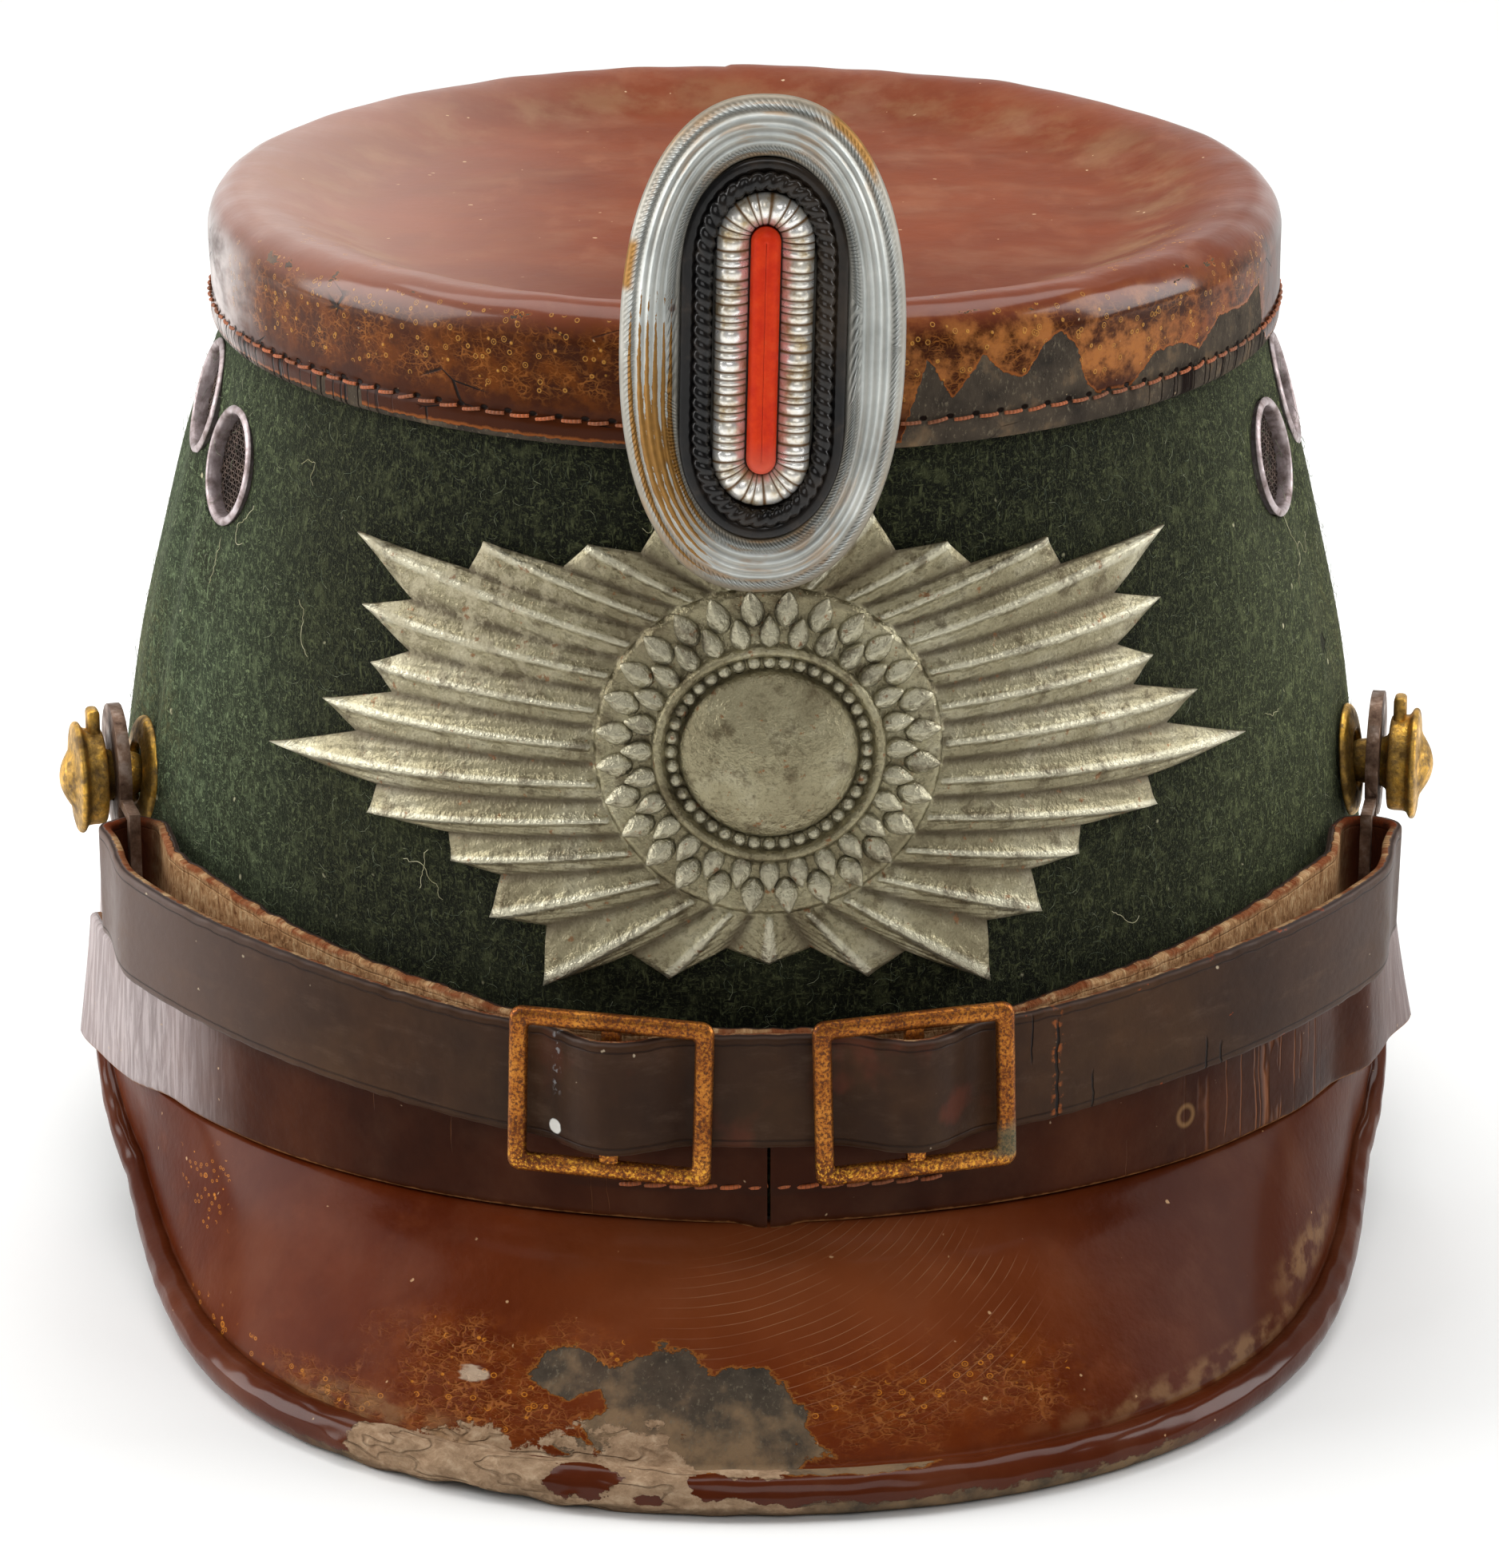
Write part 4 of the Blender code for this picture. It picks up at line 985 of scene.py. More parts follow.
stitch_at = even_turns(SKIRT_STITCHES, CROWN)
points = cap_ring(stitch_at, -0.00006, SEAM_RISE)
sewn = cap_ring(stitch_at + 0.5, 0, SEAM_RISE) - cap_ring(stitch_at - 0.5, 0, SEAM_RISE)
out = cap_ring(stitch_at, -0.001, SEAM_RISE) - cap_ring(stitch_at, 0, SEAM_RISE)
wobble = np.random.default_rng(5).normal(0, 1, (SKIRT_STITCHES, 1))
sewn = sewn / np.linalg.norm(sewn, axis=1, keepdims=True) + wobble * 0.07 * np.array([[0, 0, 1]])
skirt_stitch_mesh = sew("skirt_stitches", points, sewn, out, linen_thread, 0.0024, 0.00022, 0.00024)
fit("skirt_stitches", skirt_stitch_mesh, None, "brown_lacquer", linen_thread)

# ---- vents ----
# Four eyelets stamped from thin grey metal, two on each side, with a rounded lip clenched over the cloth. A
# gauze of fine brown wire is set back in each, and the dark inside of the hat shows behind it.

EYELET = (  # section of the eyelet: radius, height above the cloth
    (0.0063, -0.0024), (0.0063, 0.0001), (0.0066, 0.0006), (0.0071, 0.0006), (0.0076, 0.0002),
    (0.0073, -0.0001), (0.007, -0.001), (0.007, -0.003),
)
GAUZE_SET_BACK = 0.0013


def put(frame, points):
    """Points given in a fitting's own axes, moved to their place on the hat."""
    axes = np.array(frame)
    return np.asarray(points) @ axes[:3, :3].T + axes[:3, 3]


def eased(profile, rounds=2, loop=True):
    """A profile with its corners cut and cut again, so that it runs smooth."""
    line = np.asarray(profile, float)
    for _ in range(rounds):
        here, ahead = (line, np.roll(line, -1, axis=0)) if loop else (line[:-1], line[1:])
        cut = np.stack([here * 0.75 + ahead * 0.25, here * 0.25 + ahead * 0.75], 1).reshape(-1, line.shape[1])
        line = cut if loop else np.concatenate([line[:1], cut, line[-1:]])
    return line


def turned(name, profile, frame, segments=64):
    """A piece turned about the frame's Z from (radius, height) pairs. A radius of 0 closes it at a pole."""
    profile = np.asarray(profile, float)
    spin = np.radians(np.linspace(0, 360, segments + 1))
    round_it = np.stack([np.cos(spin[:-1]), np.sin(spin[:-1])], -1)
    rows = []
    for radius, height in profile:
        rows.append(put(frame, np.concatenate([round_it * radius, np.full((segments, 1), height)], 1)))
    steps = np.hypot(*np.diff(profile, axis=0, append=profile[:1]).T)
    return skin(name, rows, spin * profile[:, 0].max(), running(steps))


# Woven wires across a disc: one row along local Y and one along local X, each bowed over and under the other.
wire_gauze, g = shape_nodes("wire_gauze", Radius=0.0065, Pitch=0.0007, Wire_Radius=0.0001)
radius, pitch, wire = g.given["Radius"], g.given["Pitch"], g.given["Wire Radius"]
both = g.add("GeometryNodeJoinGeometry")
for turn in (0, 90):
    count = g.sums("FLOOR", g.sums("DIVIDE", radius * 1.96, pitch))
    ends = {"Start_Location": g.join((count - 1) * -0.5 * pitch), "Offset": g.join(pitch)}
    stations = g.add("GeometryNodeMeshLine", {"mode": "OFFSET"}, Count=count, **ends)
    x = g.add("GeometryNodeInputPosition").split()[0]
    chord = g.sums("SQRT", g.most(radius * radius - x * x, 1e-9))
    wires = g.add("GeometryNodeCurvePrimitiveLine", Start=(0, -1, 0), End=(0, 1, 0))
    wires = g.add("GeometryNodeInstanceOnPoints", Points=stations, Instance=wires, Scale=g.join(1, chord, 1))
    wires = g.add("GeometryNodeRealizeInstances", Geometry=wires)
    wires = g.add("GeometryNodeResampleCurve", Curve=wires, Count=26)
    x, y, _ = g.add("GeometryNodeInputPosition").split()
    phase = (g.sums("DIVIDE", x, pitch) + g.sums("DIVIDE", y, pitch)) * math.pi
    woven = tube(g, moved(g, wires, 0, 0, g.sums("COSINE", phase) * (wire * (1 if turn else -1))), wire, 4)
    spun = g.add("GeometryNodeTransform", Geometry=woven, Rotation=(0, 0, math.radians(turn)))
    g.feed(both.socket.node.inputs[0], spun)
done(g, both)

greys = ((0.32, (120, 104, 100)), (0.55, (176, 162, 162)), (0.75, (200, 190, 192)))
eyelet_metal, r, where, cloud, _ = finish("eyelet_metal", (520, 4, 0.6), *greys, Metallic=0.85)
r.set(Roughness=cloud.span(0.3, 0.7, 0.6, 0.42), Normal=r.relief(where.noise(1500, 3), 0.00006))
browns = ((0.35, (50, 38, 32)), (0.65, (96, 78, 68)))
gauze_wire = finish("gauze_wire", (700, 2), *browns, Roughness=0.6, Metallic=0.5)[0]

for vent_place, degrees, height in VENTS:
    for word, side in SIDES.items():
        name = f"vent_{word}_{vent_place}"
        seat = wall_frame(side * degrees, height)
        eyelet_mesh = turned(name, eased(EYELET), seat, 56)
        seed = bpy.data.meshes.new("gauze")
        gauze_mesh = run_nodes("gauze", seed, wire_gauze, Finish=gauze_wire)
        gauze_mesh.transform(seat @ Matrix.Translation((0, 0, -GAUZE_SET_BACK)))
        fit(f"{name}_eyelet", eyelet_mesh, name, "dull_steel", eyelet_metal)
        fit(f"{name}_gauze", gauze_mesh, None, "dull_steel", gauze_wire)

# ---- leather band ----
# Lacquered leather round the wall's foot. One piece runs round the back; two halves butt at a seam in front
# and lie over its ends. It is sewn to the wall above its lower edge, and has wrinkled and cracked where the
# hat flexes.

BAND_HEIGHT = 0.0172
BAND_THICKNESS = 0.0018
OVERLAP = (64, 76)  # degrees, where the front halves lie over the rear band
FRONT_SEAM_GAP = 0.0004
BAND_STITCH = 0.0025
# height above the foot, out from the wall's side
BAND_SECTION = [(0, 0.0005), (0, 0.0011), (0.00012, 0.0016)]
BAND_SECTION += [(h, BAND_THICKNESS) for h in np.linspace(0.0005, 0.0167, 26)]
BAND_SECTION += [(0.01705, 0.0016), (0.0172, 0.0012), (0.0172, 0.0005), (0.0169, 0), (0.0086, 0), (0.0003, 0)]


def band_mesh(name, degrees, lift, kick, rise):
    """A run of band leather. lift is out from the wall, kick more at the foot, and rise its foot's height."""
    rows, up = [], []
    for height, out in BAND_SECTION:
        low = 1 - height / BAND_HEIGHT
        share = height / tall + rise * low**4 / tall
        rows.append(wall(degrees, share, GAP + out + lift + kick * low**1.5))
        up.append(height if out > 0.0009 else -height - 0.001)
    rows, along, _ = capped(rows, round_length(degrees))
    return skin(name, rows, along, up + [0], around=False, sharp=50)


browns = ((0.3, (44, 18, 6)), (0.55, (60, 27, 11)), (0.78, (78, 40, 20)))
lacquer = {"Specular_IOR_Level": 0.03, "Coat_Roughness": 0.2}
band_lacquer, r, where, _, colour = finish("band_lacquer", (46, 5, 0.6), *browns, **lacquer)
flat = r.flat()
along, up, _ = flat.split()
half_round = float(round_length(180))
off_front = half_round - (along.size() - half_round).size()
flexed_right = off_front.span(0.1, 0.125) * (0.5 + along.span(0.3, 0.45) * 0.5)
flexed = r.most(along.span(-0.072, -0.102), flexed_right) * off_front.span(0.2, 0.14)
upright = flat.stretch(y=0.12, turn=10).noise(950, 5, 0.6, 0.5)
wrinkles = upright.span(0.4, 0.64) * flexed
# The flexed ends are painted pale: cracked, worn lacquer, and painted sheen where the light grazes them.
pale = flexed * 0.56 + wrinkles * 0.3
split_at = r.join((along + flat.noise(90, 3) * 0.0022) * 330, 0).edges(1)
split_zone = along.window(0.06, 0.086, 0.006) * flat.stretch(y=0.4).patches(260, 0.4, 0.52, 2)
splits = split_at.span(0.05, 0.02) * split_zone
few = split_at.span(0.03, 0.01) * flat.stretch(y=0.3).patches(120, 0.6, 0.64)
splits = r.most(splits, few * off_front.window(0.018, 0.06, 0.006) * 0.6)
ring_at = flat.far((0.0568, 0.0062, 0))
ring_mark = ring_at.window(0.001, 0.0016, 0.0003) * 0.6
# Painted shadow: the band is darker just below the strap, in front.
painted_strap_shadow = up.span(0.0105, 0.014) * off_front.span(0.085, 0.07)
edge_worn = (up + flat.noise(700, 4) * 0.0008).span(0.00085, 0.0005)
settled = r.effect(dust, Place=where, Amount=0.6)
punched = up.window(0.004, 0.005, 0.0003) * off_front.span(0.026, 0.022)
r.set(Base_Color=r.over(
    colour,
    (pale, (196, 184, 183)),
    (splits * 0.75, (128, 78, 48)),
    (ring_mark, (138, 104, 66)),
    (painted_strap_shadow * 0.55, (34, 16, 9)),
    (edge_worn * 0.8, (148, 100, 60)),
    (settled["Specks"] * 0.7, (208, 176, 140)),
    (settled["Film"] * 0.12, (150, 108, 80)),
    (punched * 0.55, (48, 26, 16)),
))
rough = 0.28 + flexed * 0.22 + where.noise(220, 3) * 0.12
r.set(Roughness=rough + edge_worn * 0.3, Coat_Weight=(1 - flexed) * 0.035)
height = upright * flexed + where.noise(330, 3) * 0.25 - splits * 0.7
r.set(Normal=r.relief(height, 0.00045, r.relief(r.effect(grain, Place=where, Size=1), 0.00005)))

rear_turns = np.linspace(OVERLAP[0] + 2, 360 - OVERLAP[0] - 2, 321)
rear_lift = 0.00012 * ripple(rear_turns * 0.0016, 0, 0.02, 31)
rear_band_mesh = band_mesh("rear_band", rear_turns, rear_lift, 0, 0)
fit("rear_band_leather", rear_band_mesh, "rear_band", "brown_lacquer", band_lacquer)

seam_turn = math.degrees(FRONT_SEAM_GAP / 2 / FOOT[0])
for word, side in SIDES.items():
    band_turns = np.concatenate([np.linspace(seam_turn, 3, 22), np.linspace(3, OVERLAP[1], 260)[1:]])
    lift = (BAND_THICKNESS + GAP) * smooth_step(OVERLAP[0] - 6, OVERLAP[0], band_turns)
    lift = lift + 0.00025 * ripple(band_turns * 0.0016, 0, 0.018, 32 + side) * smooth_step(30, 60, band_turns)
    kick = 0.0008 * smooth_step(60, OVERLAP[1], band_turns)
    kick = kick + (0.0007 + 0.0009 * (side > 0)) * smooth_step(70, OVERLAP[1], band_turns)
    kick = kick + 0.00055 * smooth_step(3.2, 0.3, band_turns)
    foot = -0.0007 * smooth_step(3, 0.3, band_turns) - 0.0003 * smooth_step(14, 2, band_turns)
    half_mesh = band_mesh(f"front_band_{word}", side * band_turns, lift, kick, foot)
    fit(f"front_band_{word}_leather", half_mesh, f"front_band_{word}", "brown_lacquer", band_lacquer)


def sew_band(name, start, end, height, lift):
    """A stitch row along the band's face between two angles."""
    count = int((round_length(end) - round_length(start)) / BAND_STITCH / 1.12)
    at = even_turns(count, FOOT, start, end)
    share = height / tall
    points = wall(at, share, GAP + BAND_THICKNESS + lift)
    sewn = wall(at + 0.5, share) - wall(at - 0.5, share)
    out = wall(at, share, 0.001) - wall(at, share)
    return sew(name, points, sewn, out, linen_thread, BAND_STITCH, 0.0003)


rear_row = sew_band("rear_band_stitches", 77.5, 282.5, 0.0055, 0)
fit("rear_band_stitches", rear_row, None, "brown_lacquer", linen_thread)
front_row = sew_band("front_band_stitches", -10.8, 14.8, 0.0047, -0.00008)
fit("front_band_stitches", front_row, None, "brown_lacquer", linen_thread)

# ---- peaks ----
# Stiff leather moulded to a slope and lacquered like the crown, with its edge rolled over a cord into a bead.
# The front peak has taken the wear: the lacquer is crazed, scored and flaked, and the bead is rubbed down to
# the leather.

FRONT_REACH = 0.0264
REAR_REACH = 0.0166
PEAK_THICKNESS = 0.0018
BEAD_RADIUS = 0.0026
PEAK_ROOT = 0.0045
PEAK_EDGE = 0.0021  # half the height of the peak's edge where it meets the band
END_TAPER = 0.45  # share of that, and of the bead's radius, that is lost towards the peak's ends
SHEET_ROWS = 42
SHEET_FINE = 240  # steps along the sheet from which its rows are read
JUNCTION = 0.95  # the mark "down" runs to this over the sheet, and from 1 to 2 round the bead to its foot
WEAR = {  # by kind: metres round from the front, place down the peak, and half sizes of both
    "peeled": (
        (-0.0205, 0.66, 0.0038, 0.085), (-0.011, 0.7, 0.005, 0.16), (-0.0125, 0.84, 0.0052, 0.1),
        (-0.0045, 0.76, 0.0068, 0.165), (-0.001, 0.8, 0.0036, 0.15), (-0.019, 0.9, 0.002, 0.035),
        (-0.005, 0.9, 0.0085, 0.11), (0.006, 1.16, 0.008, 0.15), (-0.001, 1.14, 0.007, 0.12),
    ),
    "bare": (
        (-0.0345, 1.5, 0.0065, 0.42), (-0.029, 1.32, 0.008, 0.46), (-0.02, 1.36, 0.0075, 0.52),
        (-0.012, 1.3, 0.0065, 0.5), (-0.005, 1.26, 0.006, 0.3), (-0.01, 1.78, 0.012, 0.3),
        (0.001, 1.86, 0.008, 0.2),
    ),
    "kept": (
        (-0.0168, 1.44, 0.003, 0.26), (-0.0206, 1.02, 0.0026, 0.075), (-0.0055, 1.42, 0.0022, 0.17),
        (0, 1.46, 0.005, 0.15), (-0.011, 1.62, 0.0016, 0.1),
    ),
    "crazed": (
        (-0.029, 0.8, 0.015, 0.24), (-0.033, 0.62, 0.011, 0.14), (-0.019, 0.62, 0.008, 0.16),
        (-0.046, 0.9, 0.012, 0.1), (0.01, 0.74, 0.011, 0.22), (0.022, 0.72, 0.011, 0.2),
    ),
    "scored": (
        (0.009, 0.4, 0.023, 0.48),
    ),
    "spotted": (
        (-0.064, 0.95, 0.017, 0.13), (-0.08, 0.4, 0.01, 0.3), (-0.047, 0.97, 0.012, 0.1),
    ),
    "dusty": (
        (0.048, 0.9, 0.03, 0.075), (0.075, 0.78, 0.015, 0.14), (-0.04, 0.92, 0.018, 0.1),
    ),
}


def worn(kind, along, down):
    """How far inside the named wear a place lies: 1 in a patch's middle, 0 at its edge, below 0 outside."""
    field = np.full(np.broadcast(along, down).shape, -3)
    for a, d, half_a, half_d in WEAR[kind]:
        field = np.maximum(field, 1 - np.hypot((along - a) / half_a, (down - d) / half_d))
    return field


def peak_mesh(name, middle, end, reach, flat_to, lift_power, count, front):
    """A peak from end to end, in sections that run from the root over the sheet, round the bead and back."""
    columns, downs = [], []
    turns = np.linspace(-end, end, count)
    root_along = round_length(turns)
    for turn, along in zip(turns, root_along):
        degrees, share = middle + turn, abs(turn) / end
        out = reach * (1 - share**2.6) ** 3
        if front:
            out += 0.0012 * hump(turn, -36, 12)
        _, foot_y = oval(FOOT, degrees, out)
        full = base_height(foot_y)
        rise = max(0, (abs(turn) - flat_to) / (end - flat_to)) ** lift_power
        taper = 1 - END_TAPER * share**4
        small = PEAK_EDGE * taper
        drop = full + (2 * small + GAP + PEAK_THICKNESS - full) * rise
        bead = min(BEAD_RADIUS * taper, small * 1.25)
        out = max(out, small * 0.9)
        # The sheet slopes down to where it meets the bead; its rows are spread over that length.
        centre = np.array([out - bead, -(drop - bead)])
        s = np.linspace(0, 1, SHEET_FINE)
        across = -0.0004 + (out - small * 1.5 + 0.0004) * s
        sheet = np.stack([across, -GAP - (drop - small * 1.6) * s**1.2], -1)
        clear = np.hypot(*(sheet - centre).T) > bead
        last = max(20, int(np.argmin(clear)) if not clear.all() else SHEET_FINE - 1)
        steps = np.linspace(0, last, SHEET_ROWS)
        top = np.stack([np.interp(steps, np.arange(SHEET_FINE), sheet[:, k]) for k in (0, 1)], -1)
        # Round the bead from there to its foot, uneven where it is rubbed, and back up under the sheet.
        entry = math.degrees(math.atan2(*(top[-1] - centre)[::-1]))
        angle = np.radians(np.concatenate([np.linspace(entry - 5, -90, 34), np.linspace(-105, -150, 4)]))
        swell = np.full(angle.shape, bead)
        if front:
            folds = hump(along, -0.026, 0.015) + 0.25
            swell = swell + 0.00022 * ripple(along, angle * 0.004, 0.0042, 41) * folds
        rim = centre + swell[:, None] * np.stack([np.cos(angle), np.sin(angle)], -1)
        if front:
            rim[:, 1] += 0.0011 * hump(along, -0.027, 0.0045) * smooth_step(-0.2, -1.3, angle)
        back = top[[34, 26, 18, 10, 4, 0]] - [[PEAK_THICKNESS * 0.55, PEAK_THICKNESS * 0.8]]
        back[-1, 0] += PEAK_THICKNESS * 0.55
        root = [(-PEAK_ROOT, -GAP - PEAK_THICKNESS * 0.8), (-PEAK_ROOT, -GAP)]
        section = np.concatenate([top, rim, back, root])
        # The root follows the sloping foot of the wall, and the bead stays level.
        x, y = oval(FOOT, degrees, section[:, 0])
        follow = smooth_step(-PEAK_THICKNESS, -PEAK_THICKNESS * 3, section[:, 1])
        level = base_height(y) + (base_height(foot_y) - base_height(y)) * follow
        columns.append(np.stack([x, y, level + section[:, 1]], -1))
        on_bead = 1 + (math.radians(135) - angle) / math.radians(225)
        downs.append(np.concatenate([np.linspace(0, JUNCTION, SHEET_ROWS), on_bead, np.full(8, 2.4)]))
    rows, down = np.stack(columns, 1), np.stack(downs, 1)
    far_down = running(np.linalg.norm(np.diff(rows[:, count // 2], axis=0), axis=1))
    marks = {"down": down}
    if front:
        marks |= {kind: worn(kind, root_along[None, :], down) for kind in sorted(WEAR)}
    rows, along, marks = capped(rows, round_length(middle + turns), marks)
    return skin(name, rows, along, np.append(-far_down, -far_down[-1] - 0.004), around=False, marks=marks)


def peak_finish(name, front):
    """Brown lacquer for a peak. The front one also reads the wear marked on its mesh."""
    browns = ((0.3, (78, 28, 8)), (0.52, (94, 38, 13)), (0.75, (112, 52, 24)))
    lacquer = {"Specular_IOR_Level": 0.02, "Coat_Roughness": 0.14, "Coat_IOR": 1.45}
    made, r, where, _, colour = finish(name, (36, 5, 0.6), *browns, **lacquer)
    flat, down = r.flat(), r.mark("down")
    along = flat.split()[0]
    cloudy = where.stretch(z=1.6).noise(95, 4, 0.6)
    colour = r.over(
        colour,
        (cloudy.span(0.55, 0.8) * 0.35, (126, 66, 36)),
        # painted shade in the groove where the sheet meets the bead
        (down.window(0.925, 0.985, 0.02) * 0.35, (58, 28, 14)),
    )
    if front:
        # Painted highlight: the middle of the front peak is painted lighter.
        painted_centre_highlight = along.window(-0.02, 0.026, 0.022) * down.span(0.75, 0.35)
        colour = r.mix(painted_centre_highlight * 0.42, colour, (134, 76, 42))
    # Painted shade: darker towards the right and a little on the left, and on the bead.
    shaded = r.most(along.span(0.015, 0.06) * 0.72, along.span(-0.03, -0.07) * 0.25)
    colour = r.mix(r.most(shaded, down.span(0.98, 1.05) * 0.45), colour, (54, 22, 7))
    pebble = r.effect(grain, Place=where, Size=1.25)
    height = where.noise(420, 3) * 0.35
    bare = gone = rubbed = 0
    settled = r.effect(dust, Place=where, Amount=0.7)
    film = settled["Film"] * 0.12
    if front:
        rag = flat.noise(420, 5, 0.65) - 0.5 + (flat.noise(150, 2) - 0.5) * 0.7
        patch = r.mark("peeled") + rag * 1.1
        kept = (r.mark("kept") + rag * 1.7).span(0, 0.06)
        foot = (down + rag * 0.4).span(1.62, 1.66) * along.window(-0.046, 0.04, 0.006)
        gone = r.most(patch.span(0, 0.05), foot) * (1 - kept)
        bare = (r.mark("bare") + rag * 0.8).span(0, 0.05) * (1 - kept)
        bare = bare * (1 - foot * along.span(0, 0.006))
        intact = 1 - r.most(gone, bare)
        lip = patch.span(-0.09, -0.01) * intact
        crazed = r.effect(crazing, Place=flat, Amount=r.mark("crazed"))
        crack, flakes = crazed["Crack"] * intact, crazed["Flakes"] * intact
        zone, spotted = r.mark("crazed").span(-0.3, 0.8), r.mark("spotted").span(-0.2, 0.6)
        coat = r.effect(old_lacquer, Place=flat, Thin=zone, Blisters=r.most(spotted * 1.1, zone * 0.8))
        amber = r.most(coat["Amber"], flat.patches(420, 0.48, 0.66, 4, 0.6) * zone) * 0.46
        cell = flat.cells(300)
        dot = r.most(cell.window(0.1, 0.15, 0.03), cell.span(0.09, 0.05) * 0.4) * spotted
        dot = dot * flat.patches(420, 0.47, 0.53, 1)
        # Fine scores run down the sheet to the left from under the right buckle, in wide arcs.
        waver = flat.noise(60, 2) * 0.9
        bend = flat.far((-0.0123, 0.024, 0)) * 780 + waver
        off_line = (r.sums("FRACT", bend) - 0.5).size()
        shown = flat.stretch(0.35, turn=-35).patches(170, 0.36, 0.56, 3)
        scored = r.mark("scored").span(0, 0.35) * shown * intact
        scores = off_line.span(0.06, 0.025) * scored
        stroke = flat.stretch(0.05, turn=-3).cells(300)
        gashes = stroke.span(0.1, 0.05) * along.window(-0.07, -0.05, 0.002) * down.window(0.12, 0.24, 0.02)
        ground = r.effect(bare_ground, Place=where, Rubbed=down.span(0.58, 0.95))
        suede = flat.stray(500, 0.0006).noise(620, 5, 0.72)
        folds = flat.stretch(0.6, 1.3, turn=25).stray(200, 0.0012).noise(190, 2)
        crease = (folds - 0.5).size().span(0.022, 0)
        soft = suede.ramp((0.3, (118, 94, 72)), (0.52, (154, 128, 102)), (0.75, (186, 162, 134)))
        foot_dark = (down + rag * 0.3).span(1.66, 1.8) * 0.55
        soft = r.over(soft, (crease * 0.3, (92, 70, 50)), (foot_dark, (72, 58, 46)))
        fleck = flat.stretch(0.5).stray(700, 0.0016).far((-0.015, -0.0225, 0)).span(0.0012, 0.0007)
        crack_line = down + (flat.noise(130, 4) - 0.5) * 0.05
        slit = crack_line.window(0.957, 0.965, 0.006) * along.window(0.012, 0.056, 0.003)
        slit = slit * flat.patches(100, 0.42, 0.5, 3)
        dusty = r.mark("dusty").span(0, 0.7) * flat.patches(330, 0.38, 0.62, 4)
        colour = r.over(
            colour,
            (amber, (130, 64, 20)),
            (crack * 0.74, (152, 92, 46)),
            (r.most(coat["Ring"], dot) * 0.85, (204, 128, 40)),
            (scores * 0.55, (166, 116, 82)),
            (gashes * 0.6, (160, 98, 50)),
            (gone, ground["Colour"]),
            (lip * 0.55, (150, 96, 42)),
            (bare, soft),
            (fleck * 0.75, (186, 166, 142)),
            (dusty * 0.5, (140, 106, 70)),
            (slit, (24, 15, 10)),
        )
        rubbed = bare * 0.58 + gone * 0.42
        height = height + intact * 1.2 - crack * 0.5 + flakes * flat.stretch(0.4).noise(900, 3)
        height = height + scores * 0.4 + (suede - crease * 0.9) * (bare * 1.4)
        height = height + ground["Weave"] * (gone * 0.5) - slit * 1.5
    colour = r.mix(film, colour, (150, 108, 82))
    r.set(
        Base_Color=r.mix(settled["Specks"] * 0.7, colour, (206, 166, 122)),
        Roughness=0.26 + cloudy * 0.14 + film * 0.4 + rubbed,
    )
    shoulder = along.span(-0.045, -0.075) * down.span(0.5, 0.3)
    glossed = down.span(0.96, 1.06, 0.03, 0.42) + shoulder * 0.08
    r.set(Coat_Weight=r.sums("SUBTRACT", 1, bare + gone, clamp=True) * glossed)
    r.set(Normal=r.relief(height, 0.00016, r.relief(pebble * 0.4 + where.noise(900, 2), 0.00005)))
    return made


peak_lacquer = peak_finish("front_peak_lacquer", True)
front_peak_mesh = peak_mesh("front_peak", 0, 80, FRONT_REACH, 15, 3.5, 381, True)
fit("front_peak_leather", front_peak_mesh, "front_peak", "brown_lacquer", peak_lacquer)
rear_peak_mesh = peak_mesh("rear_peak", 180, 66, REAR_REACH, 20, 2.5, 181, False)
rear_lacquer = peak_finish("rear_peak_lacquer", False)
fit("rear_peak_leather", rear_peak_mesh, "rear_peak", "brown_lacquer", rear_lacquer)

# ---- chin strap ----
# One strap of dark brown leather, doubled: it turns round the bar of a lug at each side, and its outer layer
# passes over the buckles' bars. Its grain side faces out of the loop, so the inner layer shows its tan, fuzzy
# flesh side.

STRAP_WIDTH = 0.014
STRAP_THICKNESS = 0.0016
STRAP_FRONT_Z = 0.0443
STRAP_SPLITS = (  # metres round from the front, half width, and where across the strap each starts and ends
    (0.0337, 0.00016, -0.95, 0.75), (0.0305, 0.00008, 0.15, 0.9), (0.0385, 0.00009, -1, -0.35),
    (0.0545, 0.00012, -1, -0.45), (0.0566, 0.0001, -1, -0.62),
)
STRAP_RISE = {-1: 0.0096, 1: 0.0078}
STRAP_TURN_ANGLE = 61
STRAP_TURN_RADIUS = 0.0036
BUCKLE_ANGLE = {-1: 11.5, 1: 10.4}
BUCKLE_WIDTH = 0.0245
BUCKLE_BAR = 0.0023
BUCKLE_DEPTH = 0.0016
LAYER_GAP = 0.0004  # between the band and the strap, and between the strap's two layers
OUTER_COLUMNS, INNER_COLUMNS = 300, 230
INNER_LIFT = 0.0012  # the inner layer stands this much higher between the buckles and the lugs


def by_side(values, degrees):
    return np.where(np.asarray(degrees) < 0, values[-1], values[1])


def strap_z(degrees):
    return STRAP_FRONT_Z + by_side(STRAP_RISE, degrees) * smooth_step(14, 70, np.abs(degrees))


def inner_offset(degrees):
    drawn_in = 0.0031 * smooth_step(53, STRAP_TURN_ANGLE, np.abs(degrees))
    return LAYER_GAP + STRAP_THICKNESS / 2 - drawn_in


